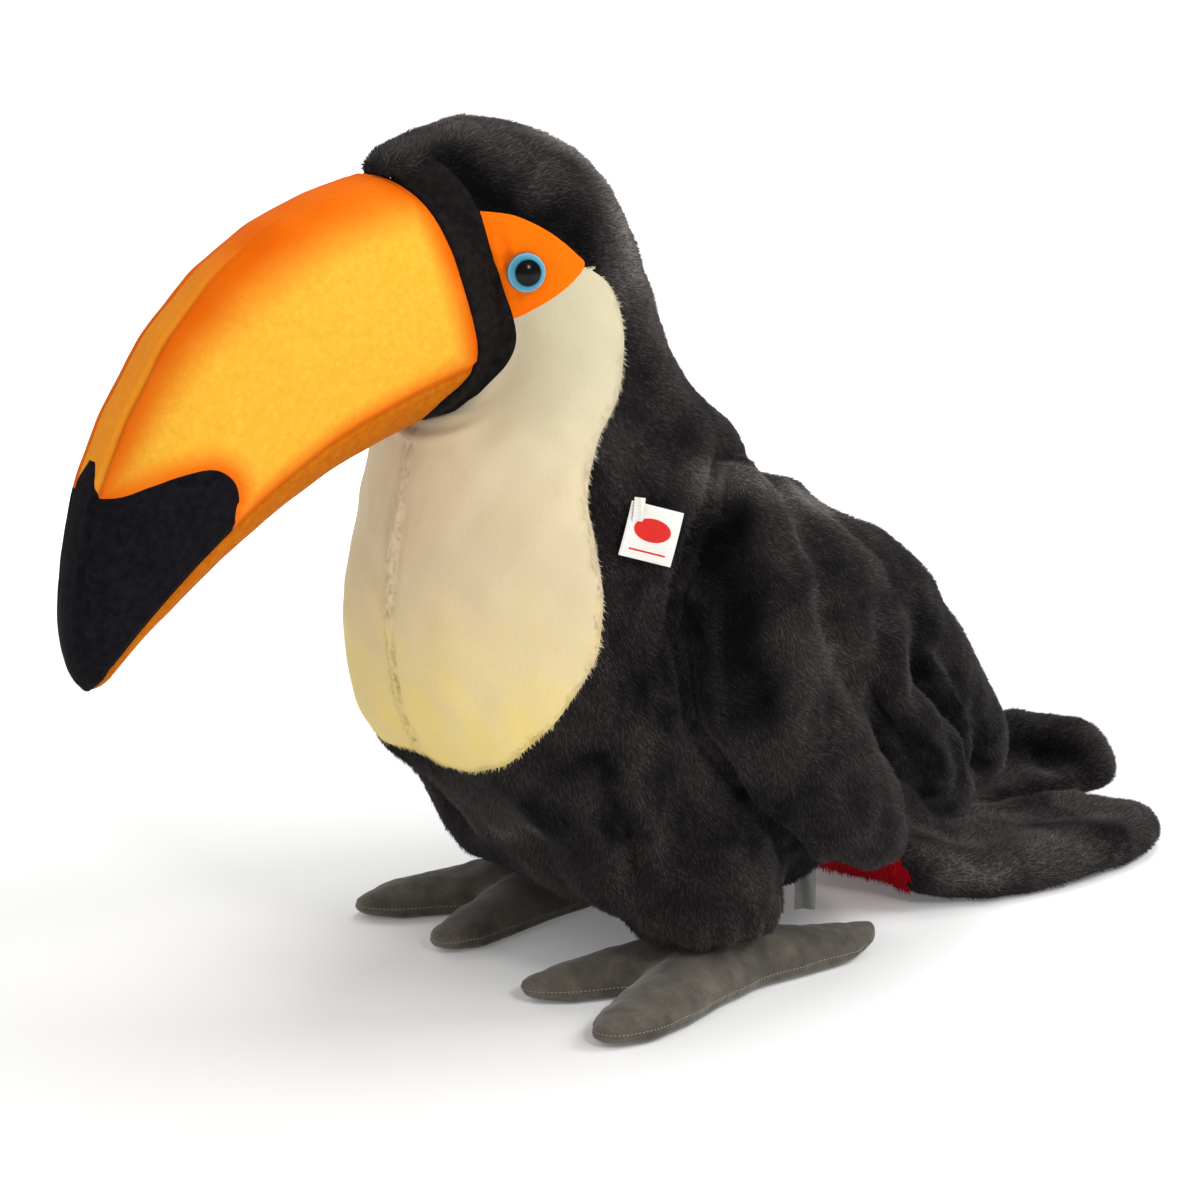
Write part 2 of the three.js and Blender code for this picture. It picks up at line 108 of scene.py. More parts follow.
def insideOutline(points, outline):  # distance in mm to a closed outline, positive inside
    gap, _, _ = alongLine(points, outline, closed=True)
    inside = np.zeros(len(points), bool)
    for i in range(len(outline)):
        (ay, az), (by, bz) = outline[i - 1], outline[i]
        crosses = (az > points[:, 1]) != (bz > points[:, 1])
        with np.errstate(divide="ignore", invalid="ignore"):
            inside ^= crosses & (points[:, 0] < (by - ay) * (points[:, 1] - az) / (bz - az) + ay)
    return np.where(inside, gap, -gap)


def softNoise(points, wavelength, seed, waves=14):  # a smooth random field of about -1 to 1
    draw = np.random.default_rng(seed)
    total = np.zeros(len(points))
    for _ in range(waves):
        heading = unit(draw.normal(size=3)) * 2 * math.pi / (wavelength * draw.uniform(0.7, 1.5))
        total += np.sin(points @ heading + draw.uniform(0, 2 * math.pi))
    return total / math.sqrt(waves)


def lumps(points, waves):  # uneven stuffing: waves are (height, length, seed), in mm
    return sum(height * softNoise(points, length, seed) for height, length, seed in waves)


# The seams and edges of the toy as seen from its side, in (Y, Z).
bandFront = smoothLine([
    (-262, 690), (-232, 646), (-206, 616), (-193, 585), (-184, 556), (-175, 528), (-169, 503), (-176, 485),
    (-195, 466), (-210, 430),
])
bandWall = smoothLine([  # where the band ends on the front of the head
    (-250, 626), (-222, 628), (-212, 633), (-205, 640), (-198, 644), (-190, 642), (-183, 634), (-174, 621),
    (-168, 606), (-161, 583), (-151, 557), (-143, 530), (-141, 512), (-145, 497), (-154, 482), (-164, 469),
    (-178, 459), (-205, 454), (-250, 452),
])
tipPatch = smoothLine([
    (-500, 437), (-457, 433), (-430, 441), (-409, 447), (-386, 449), (-371, 440), (-365, 425), (-366, 400),
    (-350, 250), (-520, 250),
], closed=True)
underSeam = smoothLine([
    (-120, 505), (-184, 491), (-230, 477), (-279, 458), (-327, 431), (-368, 400), (-402, 369), (-429, 339),
    (-450, 312), (-459, 295), (-475, 262),
])
culmen = smoothLine([
    (-150, 628), (-176, 630), (-236, 632), (-292, 617), (-350, 587), (-399, 542), (-435, 489), (-460, 440),
    (-474, 390), (-480, 344), (-476, 308),
])
eyePatchOutline = smoothLine([
    (-240, 620), (-190, 610), (-160, 607), (-144, 603), (-123, 591), (-105, 575), (-99, 567), (-109, 556),
    (-132, 538), (-150, 524), (-200, 505),
], closed=True)
bibOutline = smoothLine([
    (-99, 565), (-93, 562), (-87, 558), (-81, 553), (-75, 545), (-70, 530), (-70, 508), (-82, 474),
    (-109, 443), (-125, 408), (-126, 379), (-124, 340), (-129, 302), (-137, 283), (-152, 257), (-166, 232),
    (-182, 201), (-200, 184), (-240, 171), (-300, 400), (-260, 560),
], closed=True)


def smoothFaces(mesh):
    mesh.polygons.foreach_set("use_smooth", np.ones(len(mesh.polygons), bool))


def meshOf(name, points, faces):  # points in row metres
    mesh = bpy.data.meshes.new(name)
    mesh.from_pydata(np.asarray(points).tolist(), [], [list(face) for face in faces])
    smoothFaces(mesh)
    mesh.update()
    return mesh


def newPiece(name, mesh):
    piece = bpy.data.objects.new(name, mesh)
    bpy.context.scene.collection.objects.link(piece)
    return piece


def readAll(items, key, width=1, kind=np.float32):  # what a mesh holds of every item, in rows of a width
    values = np.empty(len(items) * width, kind)
    items.foreach_get(key, values)
    return values.reshape(-1, width) if width > 1 else values


def pointsOf(piece):
    return toDrawing(readAll(piece.data.vertices, "co", 3))


def setPoints(piece, points):
    piece.data.vertices.foreach_set("co", toRow(points).astype(np.float32).ravel())
    piece.data.update()


def normalsOf(piece):
    return readAll(piece.data.vertex_normals, "vector", 3).astype(float)


def bake(piece, *modifiers):  # puts modifiers on a piece and applies them
    for kind, settings in modifiers:
        modifier = piece.modifiers.new(kind, kind)
        for key, value in settings.items():
            setattr(modifier, key, value)
    bpy.context.view_layer.update()
    graph = bpy.context.evaluated_depsgraph_get()
    old = piece.data
    mesh = bpy.data.meshes.new_from_object(piece.evaluated_get(graph))
    piece.modifiers.clear()
    piece.data = mesh
    bpy.data.meshes.remove(old)


def gather(meshes):  # all points and faces of some meshes
    points = []
    faces = []
    for mesh in meshes:
        first = len(points)
        points.extend(tuple(v.co) for v in mesh.vertices)
        faces.extend([first + i for i in polygon.vertices] for polygon in mesh.polygons)
    return np.array(points), faces


def solidsOf(nodes):
    return gather([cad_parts[node].data for node in nodes])


def fair(points, edges, turns, hold):  # irons out facets, and keeps the swell of what is stuffed
    ends = edges.ravel()
    others = edges[:, ::-1].ravel()
    degree = np.bincount(ends, minlength=len(points))

    def mean(values):
        return np.bincount(ends, values[others], len(points)) / degree

    ironed = points.copy()
    for _ in range(turns):
        ironed = 0.4 * ironed + 0.6 * np.stack([mean(ironed[:, k]) for k in range(3)], 1)
    lost = points - ironed
    for _ in range(hold):
        lost = 0.4 * lost + 0.6 * np.stack([mean(lost[:, k]) for k in range(3)], 1)
    return ironed + lost


def sewnSkin(name, solids, plan):  # one skin over solids that are sewn together
    skin = newPiece(name, meshOf(name, *solids))
    voxels = {"mode": "VOXEL", "voxel_size": plan["voxel"] * mm}
    bake(skin, ("WELD", {"merge_threshold": 1e-5}), ("REMESH", voxels))
    edges = readAll(skin.data.edges, "vertices", 2, np.int32)
    setPoints(skin, fair(pointsOf(skin), edges, plan["turns"], plan["hold"]))
    for other in bpy.context.selected_objects:
        other.select_set(False)
    bpy.context.view_layer.objects.active = skin
    skin.select_set(True)
    skin.data.uv_layers.new(name=mapName)
    bpy.ops.object.mode_set(mode="EDIT")
    bpy.ops.mesh.select_all(action="SELECT")
    bpy.ops.uv.smart_project(angle_limit=math.radians(66), island_margin=0.002)
    bpy.ops.object.mode_set(mode="OBJECT")
    skin.select_set(False)
    if plan.get("refined", True):
        bake(skin, ("SUBSURF", {"levels": 1}))
    smoothFaces(skin.data)
    return skin


def lighten(piece, share):  # keeps this share of a skin's faces, once nothing more is measured on it
    bake(piece, ("DECIMATE", {"ratio": share}))


def gapTo(points, nodes):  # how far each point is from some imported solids, mm
    solid, faces = solidsOf(nodes)
    tree = BVHTree.FromPolygons([Vector(p) for p in solid], faces)
    return np.array([tree.find_nearest(Vector(p))[3] for p in toRow(points)]) / mm


def mirrored(points):  # all points as if on the left side
    return np.column_stack([np.abs(points[:, 0]), points[:, 1:]])


def sideOf(points, at):  # a shape placed at a negative X is on the right side only, any other is on both
    return points if at[0] < 0 else mirrored(points)


def swell(points, normals, bumps):  # rounds the stuffing out, or in: bumps are (place, reach, how far out)
    for at, reach, out in bumps:
        away = np.linalg.norm(sideOf(points, at) - at, axis=1)
        points = points + normals * (out * bell(away, reach))[:, None]
    return points


def press(points, normals, crease):  # a fold or seam: a groove along a line, and the cloth swells beside it
    steps = 4  # it fades over the first and last stretch of its line
    line = smoothLine(crease["line"], steps)
    where = sideOf(points, line[0])
    middle = line.mean(0)
    reach = 40 + np.linalg.norm(line - middle, axis=1).max()  # nothing is felt 40 mm away
    near = np.linalg.norm(where - middle, axis=1) < reach
    gap, travelled, _ = alongLine(where[near], line)
    ends = ramp(travelled, 0, steps) * ramp(len(line) - 1 - travelled, 0, steps)
    share = gap / crease["width"]
    groove = -bell(share, 1) + crease.get("swell", 0.4) * bell(share - 2.1, 1)
    moved = points.copy()
    moved[near] += normals[near] * (groove * ends * crease["depth"])[:, None]
    return moved


def discard(piece):
    old = piece.data
    bpy.data.objects.remove(piece)
    bpy.data.meshes.remove(old)


def prism(outline, low, high):  # a side outline made solid from one x to another
    count = len(outline)
    ring = [(x, y, z) for x in (low, high) for y, z in outline]
    faces = [tuple(range(count))[::-1], tuple(range(count, 2 * count))]
    faces += [(i, (i + 1) % count, (i + 1) % count + count, i + count) for i in range(count)]
    cutter = newPiece("cutter", meshOf("cutter", toRow(ring), faces))
    area = np.sum(outline[:, 0] * np.roll(outline[:, 1], -1) - np.roll(outline[:, 0], -1) * outline[:, 1])
    if area < 0:
        cutter.data.flip_normals()
    return cutter


def cut(piece, name, outline, low, high, lap=1.0):  # takes what lies inside a side outline out of a skin
    taken = newPiece(name, piece.data.copy())
    middle = outline.mean(0)
    for part, operation, grown in ((taken, "INTERSECT", lap), (piece, "DIFFERENCE", 1.0)):
        cutter = prism(middle + (outline - middle) * grown, low, high)
        bake(part, ("BOOLEAN", {"solver": "MANIFOLD", "operation": operation, "object": cutter}))
        discard(cutter)
    return taken


def keepFaces(piece, mask):  # leaves only the faces of a mask
    work = bmesh.new()
    work.from_mesh(piece.data)
    work.faces.ensure_lookup_table()
    bmesh.ops.delete(work, geom=[work.faces[int(i)] for i in np.flatnonzero(~mask)], context="FACES")
    work.to_mesh(piece.data)
    work.free()
    piece.data.update()


def faceMeans(piece, values):  # a value of each face, from its corners
    corners = readAll(piece.data.loops, "vertex_index", 1, np.int32)
    starts = readAll(piece.data.polygons, "loop_start", 1, np.int32)
    sizes = np.diff(np.append(starts, len(corners)))
    return np.add.reduceat(values[corners], starts) / sizes


def dropWalls(piece, outlines):  # takes off the inner walls that the cuts left
    points = pointsOf(piece)
    onCut = np.zeros(len(points), bool)
    for outline in outlines:
        near, _, _ = alongLine(points[:, 1:], outline, closed=True)
        onCut |= near < 0.02
    keepFaces(piece, faceMeans(piece, onCut.astype(float)) < 0.999)  # a wall has every corner on a cut


def faceOutward(piece):
    work = bmesh.new()
    work.from_mesh(piece.data)
    bmesh.ops.recalc_face_normals(work, faces=work.faces)
    work.to_mesh(piece.data)
    work.free()


def finishPiece(piece, material, slot, *nodes):
    piece.data.materials.clear()
    piece.data.materials.append(material)
    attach(piece, "root")
    if nodes:
        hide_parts(*nodes)


def finishSkin(piece, material, slot, nodes):
    smoothFaces(piece.data)
    for layer in [m for m in piece.data.uv_layers if m.name != mapName]:
        piece.data.uv_layers.remove(layer)
    finishPiece(piece, material, slot, *nodes)


def setField(piece, name, values):
    field = piece.data.attributes.new(name, "FLOAT", "POINT")
    field.data.foreach_set("value", np.asarray(values, np.float32))


def colour(code):  # an sRGB hex value as linear RGBA
    parts = [int(code[i : i + 2], 16) / 255 for i in (1, 3, 5)]
    return [c / 12.92 if c <= 0.04045 else ((c + 0.055) / 1.055) ** 2.4 for c in parts] + [1]


def addNode(tree, kind, sockets, **settings):  # sockets maps a name or number to a value, a node or an output
    node = tree.nodes.new("ShaderNode" + kind)
    for key, value in settings.items():
        setattr(node, key, value)
    for key, value in sockets.items():
        if isinstance(key, int):
            socket = node.inputs[key]
        else:
            socket = next(s for s in node.inputs if s.enabled and s.name == key)
        if isinstance(value, bpy.types.Node):
            value = next(s for s in value.outputs if s.enabled)
        if isinstance(value, bpy.types.NodeSocket):
            tree.links.new(value, socket)
        else:
            socket.default_value = value
    return node


def newMaterial(name, gloss):  # gives the node tree and its shader; gloss goes on the shader's own sockets
    material = bpy.data.materials.new(name)
    material.use_nodes = True
    shader = material.node_tree.nodes["Principled BSDF"]
    for key, value in gloss.items():
        shader.inputs[key].default_value = value
    place = addNode(material.node_tree, "TexCoord", {}).outputs["Object"]
    return material, material.node_tree, shader, place


def pattern(place, size, **settings):  # the sockets of a texture whose pattern has a size in mm
    return {"Vector": place, "Scale": 1 / (size * mm), **settings}


def finishMaterial(tree, shader, tone, height, strength, depth):  # its colour, and a relief, depth in mm
    tree.links.new(tone, shader.inputs["Base Color"])
    bump = addNode(tree, "Bump", {"Height": height, "Strength": strength, "Distance": depth * mm})
    tree.links.new(bump.outputs[0], shader.inputs["Normal"])


def plush(name, look):
    # Knitted pile fabric, sheared and brushed: matt fibres that glow at a grazing angle, and a nap that lies
    # darker or paler in patches where hands have stroked it. Painted light on top: paler where it faces up or
    # back.
    material, tree, shader, place = newMaterial(name, {
        "Roughness": 0.85, "Sheen Weight": look["sheen"], "Sheen Roughness": 0.45,
        "Sheen Tint": colour(look["glow"]), "Specular IOR Level": 0.05,
    })
    # The patches are a hand wide, and the fibres cling in locks of about 2 mm.
    nap = addNode(tree, "TexNoise", pattern(place, 100, Detail=4, Roughness=0.6, Distortion=0.5))
    locks = addNode(tree, "Mapping", {"Vector": place, "Scale": (1, 1, 0.35)})  # drawn out downwards
    fine = addNode(tree, "TexNoise", pattern(locks, 2.2, Detail=3))
    patches = addNode(tree, "MapRange", {"Value": nap, "From Min": 0.36, "From Max": 0.64}, clamp=True)
    normal = addNode(tree, "NewGeometry", {}).outputs["Normal"]
    facing = addNode(tree, "VectorMath", {0: normal, 1: (0, 0.6, 0.8)}, operation="DOT_PRODUCT")
    raised = addNode(tree, "MapRange", {
        "Value": facing.outputs["Value"], "From Min": -0.5, "From Max": 0.9, "To Min": 0.0, "To Max": 0.26,
    })  # painted light: paler where it faces up or back, as if lit from above and behind
    patches = addNode(tree, "Math", {0: patches, 1: 0.6, 2: raised}, operation="MULTIPLY_ADD", use_clamp=True)
    tuft = addNode(tree, "Attribute", {}, attribute_name="tuft").outputs["Fac"]
    pile = addNode(tree, "Attribute", {}, attribute_name="pile").outputs["Fac"]
    tones = {6: colour(look["dark"]), 7: colour(look["light"])}
    base = addNode(tree, "Mix", {0: patches, **tones}, data_type="RGBA")
    for zone, code in look.get("zones", {}).items():
        amount = addNode(tree, "Attribute", {}, attribute_name=zone).outputs["Fac"]
        base = addNode(tree, "Mix", {0: amount, 6: base.outputs[2], 7: colour(code)}, data_type="RGBA")
    # painted shade: a tuft is darker at its root than at its tip, deep in the pile; tuft and fine add random
    # tone
    contrast, root, grain = look["contrast"], look["root"], look["grain"]
    level = addNode(tree, "Math", {0: tuft, 1: contrast, 2: 1 - contrast / 2}, operation="MULTIPLY_ADD")
    for value, factor, least in ((pile, 1 - root, root), (fine, grain, 1 - grain / 2)):
        factor = addNode(tree, "Math", {0: value, 1: factor, 2: least}, operation="MULTIPLY_ADD")
        level = addNode(tree, "Math", {0: level, 1: factor}, operation="MULTIPLY")
    shade = addNode(tree, "VectorMath", {0: base.outputs[2], "Scale": level}, operation="SCALE")
    finishMaterial(tree, shader, shade.outputs[0], fine, strength=0.35, depth=0.5)
    return material


tuftShape = {
    "rooted": 0.5,  # how deep a tuft's foot sits in the skin, mm
    "ridge": 0.55,  # how high its back stands at the root, in widths
    "lift": (0.08, 1.3),  # least and most, in radians
    "faces": [(0, 1, 2), (1, 3, 2), (0, 2, 3), (0, 3, 1)],
    "heights": [0.0, 0.0, 0.25, 1.0],  # share of the pile's height at its four corners
    "patch": [(-1.5, -1), (1.5, -1), (0, 0), (0, 1.5)],  # their map places round its root's, in thousandths
    "mostInPiece": 48000,
}


def scatterRoots(skin, density, shown):  # places all over a skin, with the normals and map places there
    mesh = skin.data
    mesh.calc_loop_triangles()
    corners = readAll(mesh.loop_triangles, "vertices", 3, np.int32)
    loops = readAll(mesh.loop_triangles, "loops", 3, np.int32)
    flat = readAll(mesh.uv_layers[mapName].data, "uv", 2)
    points = pointsOf(skin)
    normals = normalsOf(skin)
    a, b, c = (points[corners[:, k]] for k in range(3))
    area = np.linalg.norm(np.cross(b - a, c - a), axis=1) / 2
    if shown is not None:
        area = area * shown[corners].mean(1)
    total = int(area.sum() * density)
    chosen = rng.choice(len(corners), total, p=area / area.sum())
    u, v = rng.random(total), rng.random(total)
    over = u + v > 1
    u[over], v[over] = 1 - u[over], 1 - v[over]
    weights = np.stack([1 - u - v, u, v], 1)[:, :, None]
    root = (points[corners[chosen]] * weights).sum(1)
    normal = unit((normals[corners[chosen]] * weights).sum(1))
    place = (flat[loops[chosen]] * weights).sum(1)
    order = np.argsort(root[:, 2] + 0.35 * root[:, 1])
    return root[order], normal[order], place[order]


def tuftMesh(name, corners, onMap, facing):  # corners has four points to a tuft
    size = len(corners)
    mesh = bpy.data.meshes.new(name)
    mesh.vertices.add(size * 4)
    mesh.vertices.foreach_set("co", toRow(corners.reshape(-1, 3)).astype(np.float32).ravel())
    index = (np.arange(size)[:, None, None] * 4 + np.array(tuftShape["faces"])).reshape(-1)
    mesh.loops.add(size * 12)
    mesh.loops.foreach_set("vertex_index", index.astype(np.int32))
    mesh.polygons.add(size * 4)
    mesh.polygons.foreach_set("loop_start", np.arange(size * 4, dtype=np.int32) * 3)
    smoothFaces(mesh)
    mesh.update(calc_edges=True)
    layer = mesh.uv_layers.new(name=mapName)
    layer.data.foreach_set("uv", onMap.reshape(-1, 2)[index].astype(np.float32).ravel())
    mesh.normals_split_custom_set_from_vertices(np.repeat(facing, 4, axis=0).tolist())
    return mesh


def addPile(name, skin, plan, lieOf, material, slot, shown=None):
    # Tufts of pile as thin closed wedges, rooted all over a skin and lying along it.
    root, normal, place = scatterRoots(skin, plan["density"], shown)
    total = len(root)
    lie = lieOf(root)
    lie = unit(lie - normal * (lie * normal).sum(1)[:, None])
    across = np.cross(lie, normal)
    swirl = softNoise(root, 55, 3) + 0.6 * softNoise(root, 17, 4)
    turn = plan["swirl"] * swirl + rng.normal(0, plan["stray"], total)
    lie = lie * np.cos(turn)[:, None] + across * np.sin(turn)[:, None]
    across = np.cross(lie, normal)
    lift = plan["lift"] * (1 + 0.3 * softNoise(root, 30, 5)) + rng.normal(0, plan["lift"] * 0.35, total)
    lift = np.clip(np.radians(lift), *tuftShape["lift"])
    out = lie * np.cos(lift)[:, None] + normal * np.sin(lift)[:, None]
    length = plan["length"] * (rng.uniform(0.6, 1.25, total) + 0.12 * softNoise(root, 12, 6))
    width = plan["width"] * rng.uniform(0.7, 1.3, total)
    foot = root - normal * tuftShape["rooted"]
    half = across * width[:, None] / 2
    ridge = normal * width[:, None] * tuftShape["ridge"]
    wedge = np.stack([foot - half, foot + half, foot + ridge, root + out * length[:, None]], 1)
    wedge[:, :, 2] = np.maximum(wedge[:, :, 2], floorLevel + rng.uniform(0, 0.5, total)[:, None])
    glint = [rng.normal(0, plan["glint"], total)[:, None] for _ in range(2)]
    facing = unit(normal * 0.8 + out * 0.15 + across * glint[0] + lie * glint[1])
    tuft = rng.random(total)
    onMap = np.stack([place + offset for offset in np.array(tuftShape["patch"]) * 0.001], 1)
    parts = math.ceil(total / tuftShape["mostInPiece"])
    for part, rows in enumerate(np.array_split(np.arange(total), parts)):
        label = f"{name}_{part + 1}"
        piece = newPiece(label, tuftMesh(label, wedge[rows], onMap[rows], facing[rows]))
        setField(piece, "pile", np.tile(tuftShape["heights"], len(rows)))
        setField(piece, "tuft", np.repeat(tuft[rows], 4))
        for zone, values in plan.get("zones", {}).items():
            setField(piece, zone, np.repeat(values(root[rows]), 4))
        finishPiece(piece, material, slot)
    print("pile", name, total, "tufts in", parts)


# the two black zones are painted light: a pale painted highlight and a near-black painted shade, along the
# lines below
blackLook = {
    "dark": "#08080c", "light": "#5a5452", "glow": "#aeaaa9", "sheen": 0.09, "contrast": 0.9, "root": 0.5,
    "grain": 0.9, "zones": {"paintedHighlight": "#75706c", "paintedShade": "#020204"},
}
# the cream look's cheek zone is painted shade; its airbrush zone is real dye
creamLook = {
    "dark": "#d1c09e", "light": "#d9caab", "glow": "#ffffff", "sheen": 0.05, "contrast": 0.05, "root": 0.98,
    "grain": 0.09, "zones": {"airbrush": "#e8cf7c", "cheek": "#bfb69a"},
}
redLook = {
    "dark": "#b80018", "light": "#e00024", "glow": "#ff8080", "sheen": 0.12, "contrast": 0.4, "root": 0.6,
    "grain": 0.5,
}
body = {
    "nodes": ["head", "neck", "trunk", "leg_left", "leg_right", "bib_left", "bib_right", "eye_patch_left",
              "eye_patch_right", "tail_left", "tail_right", "vent_patch"],
    "touching": ["bill_upper", "bill_band", "bill_under_strip", "foot_left", "foot_right", "wing_left",
                 "wing_right"],
    "voxel": 6, "turns": 14, "hold": 30,
    "lumps": [(1.3, 80, 1), (0.6, 34, 2)],
    "nap": 0.5,
    "inset": {"black": 2.4, "bib": 1.4, "patch": 1.0},  # room that is left for the pile
    "trench": {"depth": 6.0, "from": 7, "width": 5},  # the body sinks in a line along the wings' edges
    "bandLap": 1.08,  # the band's part is cut larger than its place, and trimmed again once it is smooth
    "brow": {"out": 17, "height": 639, "spread": 13, "from": 165, "to": 205},  # the crown leans over the bill
    "cuff": {"top": 92, "full": 48, "inner": 35, "rear": 110, "middle": (108, 6), "puckers": 11,
             "depth": 2.2},  # the legs are gathered above the feet
    "seam": {"width": 2.2, "depth": 0.9},
    "kept": 0.36,  # share of the faces that stay once the pile is planted
    "bumps": [  # place, reach, how far out
        ((112, -72, 96), 46, 10),  # breeches
        ((104, -92, 78), 26, 5),
        ((47, -152, 138), 38, -6),  # under the bib
        ((66, -134, 122), 34, -9),
        ((-68, -104, 78), 22, 13),  # the far leg's front
        ((-64, -132, 116), 32, -19),
        ((62, -205, 265), 62, 4.5),  # breast
        ((60, -195, 222), 40, 6),
        ((75, -197, 362), 50, -6),
        ((100, 4, 452), 42, 5),  # side of the neck
        ((90, 34, 425), 34, 9),
        ((66, -56, 594), 50, 7),  # back of the head
        ((42, -94, 646), 44, 3),
        ((0, -185, 668), 26, -4),
        ((158, 50, 92), 34, -14),  # behind the leg, and under the tail
        ((126, 92, 70), 40, -14),
        ((106, 132, 58), 40, -10),
        ((90, 190, 42), 40, -8),
        ((54, 188, 27), 42, -18),
        ((-34, 534, 60), 30, 13),  # far tail lobe: a round end, hollow on top
        ((-30, 488, 56), 26, -15),
        ((-64, 488, 76), 24, 9),
        ((-5, 532, 40), 22, 10),
    ],
    "creases": [
        {"line": [(146, -131, 217), (143, -117, 178), (141, -99, 150), (130, -86, 118), (107, -70, 80)],
         "depth": 12, "width": 8},
        {"line": [(-64, -162, 474), (-42, -184, 455), (0, -195, 447), (42, -184, 455), (64, -162, 474)],
         "depth": 3.5, "width": 4.5, "swell": 0.6},
        {"line": [(0, -191, 438), (0, -199, 397), (0, -209, 362), (0, -213, 330), (0, -211, 289),
                  (0, -205, 248), (0, -191, 193), (0, -176, 168)], "depth": -4, "width": 3.6, "swell": 0.25},
        {"line": [(0, 250, 36), (0, 307, 22), (0, 358, 22), (0, 416, 26), (0, 463, 32), (0, 520, 34)],
         "depth": 12, "width": 7},
        {"line": [(58, 262, 52), (64, 310, 46), (58, 360, 42), (52, 410, 40), (62, 460, 38), (74, 486, 36)],
         "depth": 6, "width": 22, "swell": 0.5},
    ],
}

blackPile = {
    "density": 0.38, "length": 4.4, "width": 0.8, "lift": 27, "swirl": 0.35, "stray": 0.22, "glint": 0.25,
}  # tufts to a square mm, mm, degrees and spreads
bibPile = {**blackPile, "length": 4.2, "width": 0.7, "lift": 22, "glint": 0.03, "swirl": 0.25, "density": 0.6}
ventPile = {**blackPile, "length": 7.5, "width": 1.2, "lift": 38}


paintedShadeLines = [  # painted shade: almost black along these lines, in hollows, creases and between the wing's fingers
    {"line": [(45, -180, 645), (60, -166, 624), (74, -142, 603), (84, -112, 592)], "width": 24},  # brow
    {"line": [(158, -18, 378), (174, -30, 330), (182, -28, 286), (190, -14, 252)], "width": 27},  # wing
    {"line": [(150, 175, 240), (146, 200, 200), (140, 214, 160)], "width": 17},  # between the wing's fingers
    {"line": [(172, 160, 190), (169, 172, 150)], "width": 12},
    {"line": [(146, -128, 215), (141, -99, 150)], "width": 12},
    {"line": [(70, 396, 42), (104, 440, 34)], "width": 22},  # near tail lobe
    {"line": [(166, 60, 160), (177, 112, 118)], "width": 28, "share": 0.45},  # first finger of the wing
    {"line": [(152, -60, 100), (150, -30, 84)], "width": 26, "share": 0.45},  # foot of the leg
    {"line": [(-24, 392, 48), (-4, 440, 42)], "width": 24, "share": 0.5},
    {"line": [(-58, 446, 64), (-44, 484, 60), (-18, 512, 54)], "width": 32},  # far tail lobe
]
paintedHighlightLines = [  # painted highlights: paler along these lines, as if they caught more light
    {"line": [(30, -84, 650), (48, -60, 628), (70, -56, 598), (80, -44, 560)], "width": 17},  # nape
    {"line": [(138, -28, 410), (127, 60, 390), (109, 113, 365)], "width": 15},  # shoulder, back of the wing
    {"line": [(100, 262, 36), (122, 300, 24)], "width": 14, "share": 0.7},  # root of the tail
    {"line": [(26, -134, 128), (58, -140, 132)], "width": 12, "share": 0.6},  # under the bib
]


def shareNearLines(root, strokes):
    share = np.zeros(len(root))
    wander = 5 * softNoise(root, 40, 15)[:, None]
    for stroke in strokes:
        line = np.array(stroke["line"], float)
        gap, _, _ = alongLine(sideOf(root, line[0]) + wander, line)
        share = np.maximum(share, stroke.get("share", 0.9) * bell(gap, stroke["width"]))
    return share


# painted shade along its lines
def paintedShade(root):
    return shareNearLines(root, paintedShadeLines)


# painted highlight along its lines
def paintedHighlight(root):
    return shareNearLines(root, paintedHighlightLines)


blackPile["zones"] = {"paintedHighlight": paintedHighlight, "paintedShade": paintedShade}


def bodyLie(root):  # the pile runs back over the head and down the body, and out along the tail
    headShare = ramp(root[:, 2], 470, 570)[:, None]
    tailShare = ramp(root[:, 1], 175, 260)[:, None]
    down = np.array([0.0, 0.35, -1.0])
    back = np.array([0.0, 1.0, -0.25])
    out = np.array([0.0, 1.0, -0.05])
    lie = down * (1 - headShare) + back * headShare
    lie = lie * (1 - tailShare) + out * tailShare
    atSeam = np.exp(-np.abs(root[:, 0]) / 6) * (root[:, 1] < 0)
    lie[:, 0] += np.sign(root[:, 0]) * atSeam  # it parts at the front seam
    return lie


def bibAirbrush(root):  # pale yellow is sprayed over the lower third of the bib
    edge = root[:, 2] + 13 * softNoise(root, 90, 11) + 3 * softNoise(root, 22, 12)
    blotches = 0.75 + 0.13 * softNoise(root, 34, 13)
    return np.clip((1 - ramp(edge, 215, 365)) * blotches, 0, 1)


def cheekShade(root):  # painted shade: greyer up the side of the head
    return 0.95 * ramp(root[:, 2], 400, 500) * ramp(np.abs(root[:, 0]), 30, 75)


